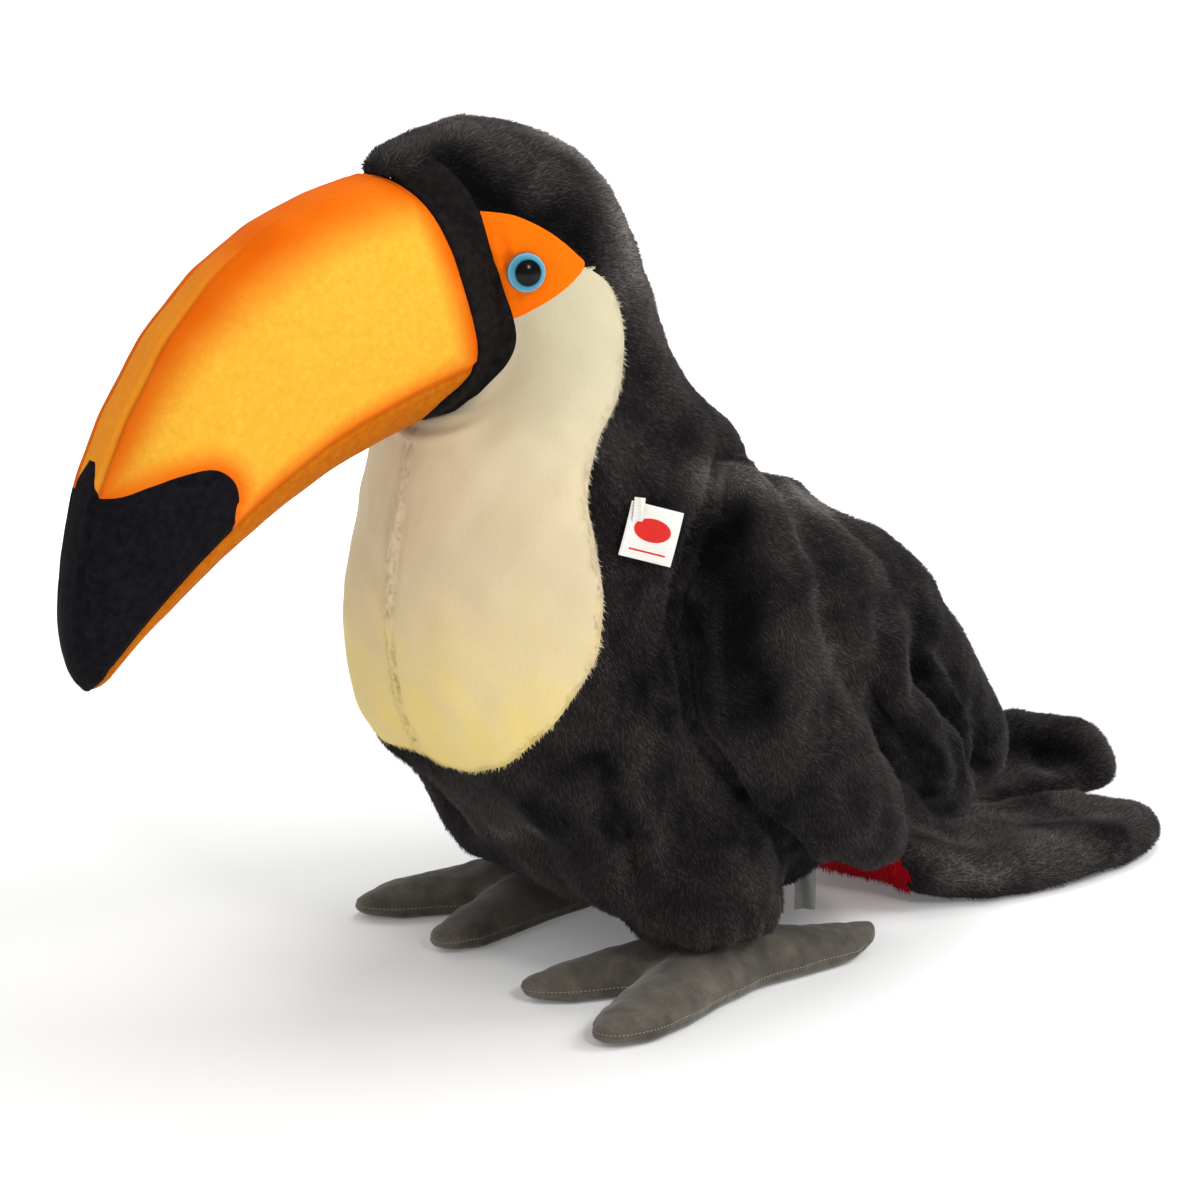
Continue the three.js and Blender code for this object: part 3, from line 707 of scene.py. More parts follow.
def buildBody():
    skin = sewnSkin("plush_body", solidsOf(body["nodes"]), body)
    points = pointsOf(skin)
    normals = normalsOf(skin)
    onFelt = np.abs(points[:, 0]) > patchInner
    bib = insideOutline(points[:, 1:], bibOutline)
    patch = np.where(onFelt, insideOutline(points[:, 1:], eyePatchOutline), -99)
    free = ramp(gapTo(points, body["touching"]), 1, 12)
    trench = body["trench"]
    toWing = gapTo(points, ["wing_left", "wing_right"])
    sunk = trench["depth"] * bell(toWing - trench["from"], trench["width"])
    inset = body["inset"]
    depth = inset["black"] + (inset["bib"] - inset["black"]) * ramp(bib, -4, 4)
    depth = depth + (inset["patch"] - depth) * ramp(patch, -1.5, 2.5)
    stuffed = lumps(points, body["lumps"])
    stuffed *= 1 - 0.7 * ramp(patch, -10, 4)
    points = points - normals * (depth * free + body["nap"] + sunk - stuffed * free)[:, None]
    brow = body["brow"]
    ahead = ramp(-points[:, 1], brow["from"], brow["to"])
    points[:, 1] -= brow["out"] * bell(points[:, 2] - brow["height"], brow["spread"]) * ahead
    points = swell(points, normals, body["bumps"])
    for crease in body["creases"]:
        points = press(points, normals, crease)
    cuff = body["cuff"]
    onCuff = ramp(-points[:, 2], -cuff["top"], -cuff["full"])
    onCuff = onCuff * (np.abs(points[:, 0]) > cuff["inner"]) * (points[:, 1] < cuff["rear"])
    turn = np.arctan2(points[:, 1] - cuff["middle"][1], np.abs(points[:, 0]) - cuff["middle"][0])
    puckers = np.sin(cuff["puckers"] * turn + 2 * softNoise(points, 60, 8))
    points += normals * (onCuff * cuff["depth"] * puckers)[:, None]
    seams = -bell(bib, body["seam"]["width"]) * (np.abs(patch) > 6) * (bib > -9)
    points += normals * (seams * body["seam"]["depth"])[:, None]
    setPoints(skin, points)
    return skin


skin = buildBody()
print("body skin", len(skin.data.polygons))
wallCut = np.vstack([bandWall, [(-330, 452), (-330, 626)]])
wallPiece = cut(skin, "band_wall", wallCut, -billHalf, billHalf, body["bandLap"])
patchPieces = {side: cut(skin, f"felt_eye_patch_{side}", eyePatchOutline, low, high)
               for side, low, high in (("left", patchInner, bodyHalf), ("right", -bodyHalf, -patchInner))}
bibPiece = cut(skin, "plush_bib", bibOutline, -bodyHalf, bodyHalf)
for piece in (skin, bibPiece, *patchPieces.values()):
    dropWalls(piece, [bibOutline, eyePatchOutline, wallCut])


def splitByNode(piece, name, nodes, others):  # gives the faces nearest to some nodes a piece of their own
    points = pointsOf(piece)
    nearer = gapTo(points, nodes) < gapTo(points, others)
    mask = faceMeans(piece, nearer.astype(float)) > 0.5
    part = newPiece(name, piece.data.copy())
    keepFaces(part, mask)
    keepFaces(piece, ~mask)
    return part


def setZones(piece, zones):
    for zone, values in zones.items():
        setField(piece, zone, values(pointsOf(piece)))


def openTo(piece, nodes):  # 0 where a neighbour hides the skin, 1 where it shows, less underneath
    clear = 0.8
    shows = ramp(gapTo(pointsOf(piece), nodes), clear, clear + 1.5)
    return shows * (1 - 0.6 * (normalsOf(piece)[:, 2] < -0.7))


tails = ["tail_left", "tail_right"]
legs = ["leg_left", "leg_right"]
ventPiece = splitByNode(skin, "plush_vent", ["vent_patch"], ["trunk", *legs, *tails])
tailPiece = splitByNode(skin, "plush_tail", tails, ["trunk", "neck"])
blackPlush = plush("black_knitted_plush", blackLook)
creamPlush = plush("cream_knitted_plush", creamLook)
redPlush = plush("red_knitted_plush", redLook)
finishSkin(skin, blackPlush, "black_plush", ["head", "neck", "trunk", *legs])
finishSkin(bibPiece, creamPlush, "cream_plush", ["bib_left", "bib_right"])
finishSkin(ventPiece, redPlush, "red_plush", ["vent_patch"])
finishSkin(tailPiece, blackPlush, "black_plush", tails)
bibPile["zones"] = {"airbrush": bibAirbrush, "cheek": cheekShade}
for piece, plan in ((skin, blackPile), (tailPiece, blackPile), (bibPiece, bibPile)):
    setZones(piece, plan["zones"])

addPile("pile_body", skin, blackPile, bodyLie, blackPlush, "black_plush", openTo(skin, body["touching"]))
points = pointsOf(bibPiece)
bibEdge = 1 - ramp(insideOutline(points[:, 1:], bibOutline), 2, 7)  # brushed flat further in
bibEdge = np.maximum(bibEdge, 0.6 * (1 - ramp(np.abs(points[:, 0]), 2, 6)))  # picked out along the seam
bibEdge *= 1 - ramp(points[:, 2], 546, 558)  # none where the top corner meets the felt
addPile("pile_bib", bibPiece, bibPile, bodyLie, creamPlush, "cream_plush",
        bibEdge * openTo(bibPiece, ["bill_upper", "bill_band", "bill_under_strip"]))
addPile("pile_vent", ventPiece, ventPile, bodyLie, redPlush, "red_plush")
addPile("pile_tail", tailPiece, blackPile, bodyLie, blackPlush, "black_plush",
        openTo(tailPiece, ["wing_left", "wing_right"]))
for piece in (skin, tailPiece):
    lighten(piece, body["kept"])


def feltMaterial():
    # Needled wool felt, airbrush dyed: flat orange with a fibrous grain and no gloss.
    material, tree, shader, place = newMaterial("orange_needled_felt", {
        "Roughness": 0.95, "Sheen Weight": 0.1, "Sheen Tint": colour("#ff9040"), "Specular IOR Level": 0.1,
    })
    # A fibre of wool is 0.03 mm thick, so they are drawn in the clumps of about 2 mm that they mat into.
    fibre = addNode(tree, "TexNoise", pattern(place, 2.2, Detail=4, Roughness=0.7))
    cloud = addNode(tree, "TexNoise", pattern(place, 20, Detail=2))
    both = addNode(tree, "Math", {0: fibre, 1: 0.65, 2: 0.0}, operation="MULTIPLY_ADD")
    both = addNode(tree, "Math", {0: cloud, 1: 0.35, 2: both}, operation="MULTIPLY_ADD")
    tone = addNode(tree, "Mix", {0: both, 6: colour("#e75a00"), 7: colour("#f67808")}, data_type="RGBA")
    finishMaterial(tree, shader, tone.outputs[2], fibre, strength=0.5, depth=0.5)
    return material


felt = feltMaterial()
feltFolds = [  # where the felt puckers in front of the eye and just below it
    {"line": [(62, -158, 600), (63, -150, 578), (66, -147, 556), (66, -143, 536)], "depth": 2.8, "width": 3},
    {"line": [(74, -148, 547), (72, -152, 541), (69, -154, 534)], "depth": 2.4, "width": 2.4},
    {"line": [(76, -118, 584), (77, -112, 570), (77, -116, 556)], "depth": 2, "width": 3},
]
for side, piece in patchPieces.items():
    for fold in feltFolds:
        setPoints(piece, press(pointsOf(piece), normalsOf(piece), fold))
    finishSkin(piece, felt, "orange_felt", [f"eye_patch_{side}"])
print("body done")


wing = {
    "voxel": 4.5, "turns": 10, "hold": 24,
    "lumps": {"left": [(1.2, 70, 21), (0.5, 27, 23)], "right": [(1.2, 70, 22), (0.5, 27, 23)]},
    "inset": 2.4,
    "sink": {"depth": 4.5, "within": 5},  # the rim goes into the body
    "rolled": {"out": 6.5, "from": 12, "width": 5.5},  # the stuffed edge stands up in a roll
    "kept": 0.34,
    "touching": ["trunk", "neck", "head", *tails, *legs, "vent_patch"],
    "bumps": [
        ((110, 160, 322), 46, 13),
        ((116, 205, 285), 42, 9),
        ((140, 235, 225), 40, 5),
    ],
    "creases": [
        {"line": [(117, 154, 325), (140, 152, 302), (168, 118, 282), (179, 107, 240), (174, 114, 216)],
         "depth": 6, "width": 15},
        {"line": [(179, 107, 244), (176, 110, 226), (172, 118, 209), (167, 146, 178), (156, 172, 148),
                  (144, 192, 119)], "depth": 15, "width": 9},
        {"line": [(110, 176, 320), (140, 168, 280), (166, 152, 242), (162, 176, 216)],
         "depth": 6, "width": 13},
        {"line": [(167, 150, 246), (164, 164, 228), (160, 186, 207), (151, 215, 179), (140, 232, 150),
                  (130, 250, 120)], "depth": 13, "width": 8},
        {"line": [(163, 199, 165), (158, 190, 154), (150, 196, 144)], "depth": 5, "width": 6},
        {"line": [(160, -30, 362), (168, -30, 345), (178, -32, 318), (185, -30, 290), (189, -25, 265),
                  (192, -12, 240)], "depth": 7, "width": 18, "swell": 0.2},
    ],
}


def wingLie(root):
    return np.tile([0.0, 0.45, -1.0], (len(root), 1))


for side in ("left", "right"):
    piece = sewnSkin(f"plush_wing_{side}", solidsOf([f"wing_{side}"]), wing)
    points = pointsOf(piece)
    normals = normalsOf(piece)
    gap = gapTo(points, wing["touching"])
    free = ramp(gap, 1, 10)
    stuffed = lumps(points, wing["lumps"][side])
    rolled = wing["rolled"]["out"] * bell(gap - wing["rolled"]["from"], wing["rolled"]["width"])
    points = points - normals * ((wing["inset"] - stuffed) * free - rolled)[:, None]
    points = swell(points, normals, wing["bumps"])
    points[:, 0] -= np.sign(points[:, 0]) * wing["sink"]["depth"] * bell(gap, wing["sink"]["within"])
    for crease in wing["creases"]:
        points = press(points, normals, crease)
    setPoints(piece, points)
    setZones(piece, blackPile["zones"])
    finishSkin(piece, blackPlush, "black_plush", [f"wing_{side}"])
    shown = openTo(piece, wing["touching"])
    addPile(f"pile_wing_{side}", piece, blackPile, wingLie, blackPlush, "black_plush", shown)
    lighten(piece, wing["kept"])
print("wings done")


bill = {
    "nodes": ["bill_upper", "bill_tip", "bill_under_strip", "bill_band"],
    "voxel": 3.5, "turns": 24, "hold": 60,
    "lumps": [(0.9, 75, 31), (0.35, 24, 32)],
    "nap": 0.4,
    "gusset": {"head": 9, "tip": 16.5, "reach": 26},  # half its width, and how far below the ridge it ends
    "seamShows": 0.25,  # how much of the gusset's seam is left to see towards the head
    "tipPoint": {"rise": 21, "within": 12.5},  # full height that far in from the gusset's edge
    "seam": {"depth": 1.7, "width": 2.2, "drawn": 1.6},
    "band": {
        "voxel": 2.3, "turns": 12, "hold": 16, "refined": False, "lap": 1.05, "rise": 1.3,
        "crease": [(57, -172, 503), (59, -163, 506), (62, -150, 510), (63, -142, 511)], "creaseDepth": 1.2,
    },
    "bumps": [((0, -478, 318), 30, 1)],
}


def gussetHalf(points):
    gusset = bill["gusset"]
    return gusset["head"] + (gusset["tip"] - gusset["head"]) * ramp(-points[:, 1], 250, 430)


def gussetRise(points):  # the black tip rises to a point in the middle of the gusset
    point = bill["tipPoint"]
    inGusset = np.clip((gussetHalf(points) - np.abs(points[:, 0])) / point["within"], 0, 1)
    return point["rise"] * inGusset * ramp(-points[:, 1], 415, 440)


def billFields(points):  # distances to the bill's own seams, mm
    side = points[:, 1:]
    toCulmen, _, _ = alongLine(side, culmen)
    underGap, _, underSide = alongLine(side, underSeam)
    frontGap, _, frontSide = alongLine(side, bandFront)
    lowered = side - np.stack([np.zeros(len(side)), gussetRise(points)], 1)
    toGusset = np.abs(np.abs(points[:, 0]) - gussetHalf(points))
    return {
        "culmen": toCulmen,
        "under": underGap * underSide,
        "bandFront": frontGap * frontSide,
        "tip": insideOutline(lowered, tipPatch),
        "gusset": np.where(toCulmen < bill["gusset"]["reach"], toGusset, 99),
        "seamShows": bill["seamShows"] + (1 - bill["seamShows"]) * ramp(-points[:, 1], 330, 430),
    }


def velour(name, look):
    # Short warp-knit velour with a dense cut nap under 1 mm: soft and even, with a faint bloom at the edges.
    material, tree, shader, place = newMaterial(name, {
        "Roughness": 0.8, "Sheen Weight": look["sheen"], "Sheen Roughness": 0.35,
        "Sheen Tint": colour(look["glow"]), "Specular IOR Level": 0.08,
    })
    # The nap's own grain is 0.3 mm, and is drawn about five times coarser so that it shows.
    cloud = addNode(tree, "TexNoise", pattern(place, 6, Detail=5, Roughness=0.7))
    fine = addNode(tree, "TexNoise", pattern(place, 1.6, Detail=3, Roughness=0.6))
    patches = addNode(tree, "MapRange", {"Value": cloud, "From Min": 0.35, "From Max": 0.65}, clamp=True)
    tones = {6: colour(look["dark"]), 7: colour(look["light"])}
    base = addNode(tree, "Mix", {0: patches, **tones}, data_type="RGBA")
    if "spray" in look:
        amount = addNode(tree, "Attribute", {}, attribute_name="airbrush").outputs["Fac"]
        sprayed = {0: amount, 6: base.outputs[2], 7: colour(look["spray"])}
        base = addNode(tree, "Mix", sprayed, data_type="RGBA")
    coarse = look["grain"]
    grain = addNode(tree, "Math", {0: fine, 1: coarse, 2: 1 - coarse / 2}, operation="MULTIPLY_ADD")
    seam = addNode(tree, "Attribute", {}, attribute_name="seam").outputs["Fac"]
    sunk = addNode(tree, "Math", {0: seam, 1: -0.2, 2: 1.0}, operation="MULTIPLY_ADD")
    level = addNode(tree, "Math", {0: grain, 1: sunk}, operation="MULTIPLY")
    shade = addNode(tree, "VectorMath", {0: base.outputs[2], "Scale": level}, operation="SCALE")
    finishMaterial(tree, shader, shade.outputs[0], fine, strength=0.3, depth=0.4)
    return material


def buildBill():
    piece = sewnSkin("velour_bill_upper", solidsOf(bill["nodes"]), bill)
    points = pointsOf(piece)
    normals = normalsOf(piece)
    fields = billFields(points)
    points = swell(points, normals, bill["bumps"])
    seam = bill["seam"]
    grooves = np.zeros(len(points))
    for gap, amount in ((fields["gusset"], fields["seamShows"]), (np.abs(fields["under"]), 1),
                        (np.abs(fields["bandFront"]), 1)):
        share = gap / seam["width"]
        grooves += amount * seam["depth"] * (-bell(share, 1) + 0.3 * bell(share - 2.2, 1))
    points = points - normals * (bill["nap"] - 0.3 * lumps(points, bill["lumps"]) - grooves)[:, None]
    setPoints(piece, points)
    return piece


def liftGusset(piece, sign):  # the middle is lowered while the tip is cut, and raised again
    points = pointsOf(piece)
    setPoints(piece, points + sign * np.outer(gussetRise(points), (0, 0, 1)))


billPiece = buildBill()
bandCut = np.vstack([bandFront, [(-60, 430), (-60, 690)]])
underCut = np.vstack([underSeam, [(-520, 200), (-60, 350)]])
bandPart = cut(billPiece, "band_part", bandCut, -billHalf, billHalf, bill["band"]["lap"])
underPiece = cut(billPiece, "velour_bill_under", underCut, -billHalf, billHalf)
liftGusset(billPiece, -1)
tipPiece = cut(billPiece, "velour_bill_tip", tipPatch, -billHalf, billHalf)
for piece in (billPiece, tipPiece):
    dropWalls(piece, [bandCut, underCut, tipPatch])
    liftGusset(piece, 1)
dropWalls(underPiece, [bandCut, underCut])
joined = sewnSkin("band_joined", gather([bandPart.data, wallPiece.data]), bill["band"])
onBill = bandFront[(bandFront[:, 1] < 630) & (bandFront[:, 1] > 456)]
bandRegion = np.vstack([onBill, bandWall[bandWall[:, 0] > -219][::-1]])
band = cut(joined, "velour_bill_band", bandRegion, -billHalf, billHalf)
dropWalls(band, [bandRegion])
for piece in (bandPart, wallPiece, joined):
    discard(piece)

yellowLook = {
    "dark": "#d99d2a", "light": "#e3a935", "glow": "#ffe9b0", "sheen": 0.06, "grain": 0.16,
    "spray": "#d65c00",
}
orangeLook = {"dark": "#ac5602", "light": "#ba690a", "glow": "#ffd0a0", "sheen": 0.06, "grain": 0.16}
tipLook = {"dark": "#050406", "light": "#141217", "glow": "#8a8590", "sheen": 0.06, "grain": 0.6}
bandLook = {"dark": "#0e0c0c", "light": "#1e1a1a", "glow": "#8a8580", "sheen": 0.06, "grain": 0.6}

points = pointsOf(billPiece)
fields = billFields(points)
cloudy = 1 + 0.06 * softNoise(points, 45, 33)
deep = 22 + 22 * ramp(points[:, 1], -440, -320)  # the orange runs further down the sides near the head
spray = np.stack([
    1 - ramp(fields["culmen"] / deep, 0.1, 1),
    1 - ramp(-fields["bandFront"], 0, 24),
    1 - ramp(-fields["under"], -2, 20),
    0.95 * (1 - ramp(-fields["tip"], -2, 22)),
]).max(0)
inGusset = fields["culmen"] < bill["gusset"]["reach"]
onGusset = ramp(gussetHalf(points) - np.abs(points[:, 0]), -1, 2) * inGusset
spray *= 1 - 0.5 * onGusset * ramp(-points[:, 1], 300, 400)  # the gusset stays paler than the seams beside it
setField(billPiece, "airbrush", np.clip(spray * cloudy, 0, 1))
for piece in (billPiece, underPiece, tipPiece):
    fields = billFields(pointsOf(piece))
    gussetLine, underLine = (bell(fields[key], bill["seam"]["drawn"]) for key in ("gusset", "under"))
    setField(piece, "seam", np.maximum(fields["seamShows"] * gussetLine, underLine))
points = pointsOf(band)
crease, _, _ = alongLine(mirrored(points), smoothLine(bill["band"]["crease"]))
edge, _, _ = alongLine(points[:, 1:], bandRegion, closed=True)
rise = bill["band"]["rise"] * (0.35 + 0.65 * ramp(edge, 0, 3)) - bill["band"]["creaseDepth"] * bell(crease, 2)
setPoints(band, points + normalsOf(band) * rise[:, None])
finishSkin(billPiece, velour("yellow_velour_airbrushed", yellowLook), "yellow_velour", ["bill_upper"])
finishSkin(underPiece, velour("orange_velour", orangeLook), "orange_velour", ["bill_under_strip"])
finishSkin(tipPiece, velour("black_velour", tipLook), "black_velour", ["bill_tip"])
finishSkin(band, velour("black_velour_band", bandLook), "black_velour", ["bill_band"])
setField(band, "seam", np.zeros(len(band.data.vertices)))
print("bill done")


eye = {
    "centre": (76, -142, 564), "facing": (0.93, -0.34, 0.1), "radius": 14.3,
    "profile": [(0, 0.56), (0.2, 0.55), (0.4, 0.5), (0.58, 0.43), (0.72, 0.36), (0.84, 0.27), (0.93, 0.17),
                (0.985, 0.06), (1, -0.04), (0.98, -0.16)],  # radius and rise, in radii
    "sides": 48,
    "paint": [(0.0, "#020203"), (0.66, "#020203"), (0.69, "#265d73"), (0.76, "#3f859f"), (0.9, "#4d94ad"),
              (0.96, "#86b3c4"), (1.0, "#3d6f84")],  # pupil, iris and rim
}


def eyeMaterial():
    # Moulded acrylic safety eye, painted behind: a black pupil and a blue iris under a hard, wet dome.
    material, tree, shader, place = newMaterial("painted_acrylic_eye", {
        "Roughness": 0.35, "Coat Weight": 0.28, "Coat Roughness": 0.14, "Specular IOR Level": 0.04,
    })
    across = addNode(tree, "Attribute", {}, attribute_name="across").outputs["Fac"]
    wobble = addNode(tree, "TexNoise", pattern(place, 6, Detail=2))
    shifted = addNode(tree, "Math", {0: wobble, 1: 0.03, 2: across}, operation="MULTIPLY_ADD")
    paint = addNode(tree, "ValToRGB", {"Fac": shifted})
    stops = paint.color_ramp.elements
    while len(stops) < len(eye["paint"]):
        stops.new(0.5)
    for stop, (at, code) in zip(stops, eye["paint"]):
        stop.position = at
        stop.color = colour(code)
    tree.links.new(paint.outputs["Color"], shader.inputs["Base Color"])
    return material


def buildEye(side, material):
    sign = 1 if side == "left" else -1
    profile = smoothLine(eye["profile"], 3)
    sides = eye["sides"]
    centre = np.array(eye["centre"])
    facing = unit(np.array(eye["facing"]))
    wide = unit(np.cross((0, 0, 1), facing))
    upward = np.cross(facing, wide)
    points = []
    for radius, rise in profile:
        for t in np.arange(sides) * 2 * math.pi / sides:
            spread = (wide * math.cos(t) + upward * math.sin(t)) * radius
            points.append(centre + (spread + facing * rise) * eye["radius"])
    faces = []
    for ring in range(len(profile) - 1):
        for i in range(sides):
            low, high = ring * sides + i, ring * sides + (i + 1) % sides
            faces.append([low, high, high + sides, low + sides][::-sign])
    piece = newPiece(f"acrylic_eye_{side}", meshOf("eye", toRow(np.array(points) * (sign, 1, 1)), faces))
    bake(piece, ("WELD", {"merge_threshold": 1e-6}))
    faceOutward(piece)
    local = (pointsOf(piece) * (sign, 1, 1) - centre) / eye["radius"]
    rise = local @ facing
    setField(piece, "across", np.linalg.norm(local - rise[:, None] * facing, axis=1))
    finishPiece(piece, material, "blue_eye_plastic", f"eye_{side}")


eyePaint = eyeMaterial()
for side in ("left", "right"):
    buildEye(side, eyePaint)
print("eyes done")


foot = {
    "voxel": 3, "turns": 10, "hold": 24,
    "lumps": {"left": [(0.7, 42, 41), (0.3, 16, 43)], "right": [(0.7, 42, 42), (0.3, 16, 43)]},
    "inset": 0.5,
    "seam": {"height": 9.5, "width": 1.6, "depth": 0.9},
    "clear": 0.1,  # the sole stays this far above the floor
    "stitchHeight": 12.8,
    "stitch": {
        "length": 1.9, "gap": 1.3, "thick": 0.32, "flat": 1.3, "proud": 0.1, "sides": 6,
        "rings": [(-0.5, 0.3), (-0.36, 0.85), (0, 1), (0.36, 0.85), (0.5, 0.3)],  # place along, thickness
    },
    "kept": 0.5,
    "tips": [  # toe tips of the left foot (X, Y), how far back they lift, and how high the sole turns up
        {"at": (59, -138), "reach": 42, "lift": 6},
        {"at": (165, -145), "reach": 42, "lift": 5},
        {"at": (126, 151), "reach": 60, "lift": 12},
    ],
}


def suedeMaterial():
    # Brushed microfibre suede: matt, cloudy where the nap is rubbed, with a fine grain.
    material, tree, shader, place = newMaterial("grey_microfibre_suede", {
        "Roughness": 0.9, "Sheen Weight": 0.25, "Sheen Roughness": 0.5, "Specular IOR Level": 0.3,
    })
    # The grain is about 1 mm, and is drawn twice as coarse so that it shows.
    cloud = addNode(tree, "TexNoise", pattern(place, 28, Detail=5, Roughness=0.62))
    grain = addNode(tree, "TexVoronoi", pattern(place, 2.2), feature="F1")
    patches = addNode(tree, "MapRange", {"Value": cloud, "From Min": 0.34, "From Max": 0.66}, clamp=True)
    tone = addNode(tree, "Mix", {0: patches, 6: colour("#433e38"), 7: colour("#625b51")}, data_type="RGBA")
    cell = addNode(tree, "Math", {0: grain, 1: 0.22, 2: 0.88}, operation="MULTIPLY_ADD")
    shade = addNode(tree, "VectorMath", {0: tone.outputs[2], "Scale": cell}, operation="SCALE")
    finishMaterial(tree, shader, shade.outputs[0], grain, strength=0.25, depth=0.4)
    return material


def threadMaterial():
    # Spun polyester thread: pale, slightly shiny, each stitch a small raised bar.
    material, tree, shader, place = newMaterial("pale_polyester_thread", {
        "Roughness": 0.6, "Sheen Weight": 0.2,
    })
    twist = addNode(tree, "TexNoise", pattern(place, 1, Detail=1))
    tone = addNode(tree, "Mix", {0: twist, 6: colour("#7d7568"), 7: colour("#9a9182")}, data_type="RGBA")
    tree.links.new(tone.outputs[2], shader.inputs["Base Color"])
    return material


def levelLoop(piece, height):  # the points of a skin at one height, in order, and its normals there
    work = bmesh.new()
    work.from_mesh(piece.data)
    level = toRow([(0, 0, height)])[0]
    found = bmesh.ops.bisect_plane(work, geom=work.verts[:] + work.edges[:] + work.faces[:], plane_co=level,
                                   plane_no=(0, 0, 1))
    edges = dict.fromkeys(e for e in found["geom_cut"] if isinstance(e, bmesh.types.BMEdge))
    loops = []
    while edges:
        edge, _ = edges.popitem()  # the last in order, so each run starts at the same place
        first, here = edge.verts
        loop = [first, here]
        while True:
            onward = next((e for e in here.link_edges if e in edges), None)
            if onward is None:
                break
            del edges[onward]
            here = onward.other_vert(here)
            loop.append(here)
        loops.append([(tuple(v.co), tuple(v.normal)) for v in loop])
    work.free()
    longest = max(loops, key=len)
    return toDrawing([p for p, _ in longest]), np.array([n for _, n in longest])


def topstitch(name, piece, height, plan, material):
    line, normals = levelLoop(piece, height)
    travelled = np.append(0, np.cumsum(np.linalg.norm(np.diff(line, axis=0), axis=1)))
    pitch = plan["length"] + plan["gap"]
    rings = plan["rings"]
    sides = plan["sides"]

    def readAt(values, where):
        return np.array([np.interp(where, travelled, values[:, i]) for i in range(3)])

    points = []
    faces = []
    for start in np.arange(0, travelled[-1] - pitch, pitch):
        ends = [readAt(line, start + k) for k in (0, plan["length"])]
        normal = unit(readAt(normals, start + plan["length"] / 2))
        along = unit(ends[1] - ends[0])
        across = unit(np.cross(along, normal))
        middle = (ends[0] + ends[1]) / 2 + normal * plan["proud"]
        first = len(points)
        for share, thick in rings:
            for k in range(sides):
                turn = 2 * math.pi * k / sides
                ring = normal * math.cos(turn) + across * math.sin(turn) * plan["flat"]
                points.append(middle + along * share * plan["length"] + ring * plan["thick"] * thick)
        for ring in range(len(rings) - 1):
            for k in range(sides):
                low, high = first + ring * sides + k, first + ring * sides + (k + 1) % sides
                faces.append((low, low + sides, high + sides, high))
        last = first + (len(rings) - 1) * sides
        faces.append(tuple(range(first, first + sides)))
        faces.append(tuple(range(last, last + sides))[::-1])
    stitches = newPiece(name, meshOf(name, toRow(points), faces))
    faceOutward(stitches)
    finishPiece(stitches, material, "grey_suede")


suede = suedeMaterial()
thread = threadMaterial()
for side in ("left", "right"):
    piece = sewnSkin(f"suede_foot_{side}", solidsOf([f"foot_{side}"]), foot)
    points = pointsOf(piece)
    normals = normalsOf(piece)
    onSide = ramp(-np.abs(normals[:, 2]), -0.95, -0.6)
    seam = bell(points[:, 2] - foot["seam"]["height"], foot["seam"]["width"]) * onSide
    above = ramp(points[:, 2], floorLevel + 2, floorLevel + 8)
    stuffed = (lumps(points, foot["lumps"][side]) - foot["inset"]) * above
    points += normals * (stuffed - foot["seam"]["depth"] * seam)[:, None]
    lowest = floorLevel + foot["clear"]
    points[:, 2] = np.maximum(points[:, 2], lowest)
    for tip in foot["tips"]:
        away = np.hypot(np.abs(points[:, 0]) - tip["at"][0], points[:, 1] - tip["at"][1])
        raised = tip["lift"] * np.clip(1 - away / tip["reach"], 0, 1) ** 1.5
        points[:, 2] += raised * ramp(points[:, 2], floorLevel + 28, floorLevel + 4)
    setPoints(piece, points)
    finishSkin(piece, suede, "grey_suede", [f"foot_{side}"])
    topstitch(f"foot_topstitch_{side}", piece, foot["stitchHeight"], foot["stitch"], thread)
    lighten(piece, foot["kept"])
print("feet done")


tag = {
    "card": {"size": (40, 40), "thick": 0.7, "centre": (156, -90, 381), "facing": (0.92, -0.36, 0.13),
             "tilt": -17, "bow": 1.0},
    "ribbon": {"size": (7.5, 17), "thick": 0.5, "offset": (-14, 15, 1.4), "tilt": -10, "bow": 1.0},
    "label": {"size": (17, 34), "thick": 0.5, "centre": (48, 148, 26), "facing": (0.8, -0.6, 0), "tilt": 0,
              "bow": 2.5},
    "marks": [((0, 2.5), (14, 8.5), 2), ((0, -13.5), (14, 0.7), 8)],  # middle, half size and squareness
}


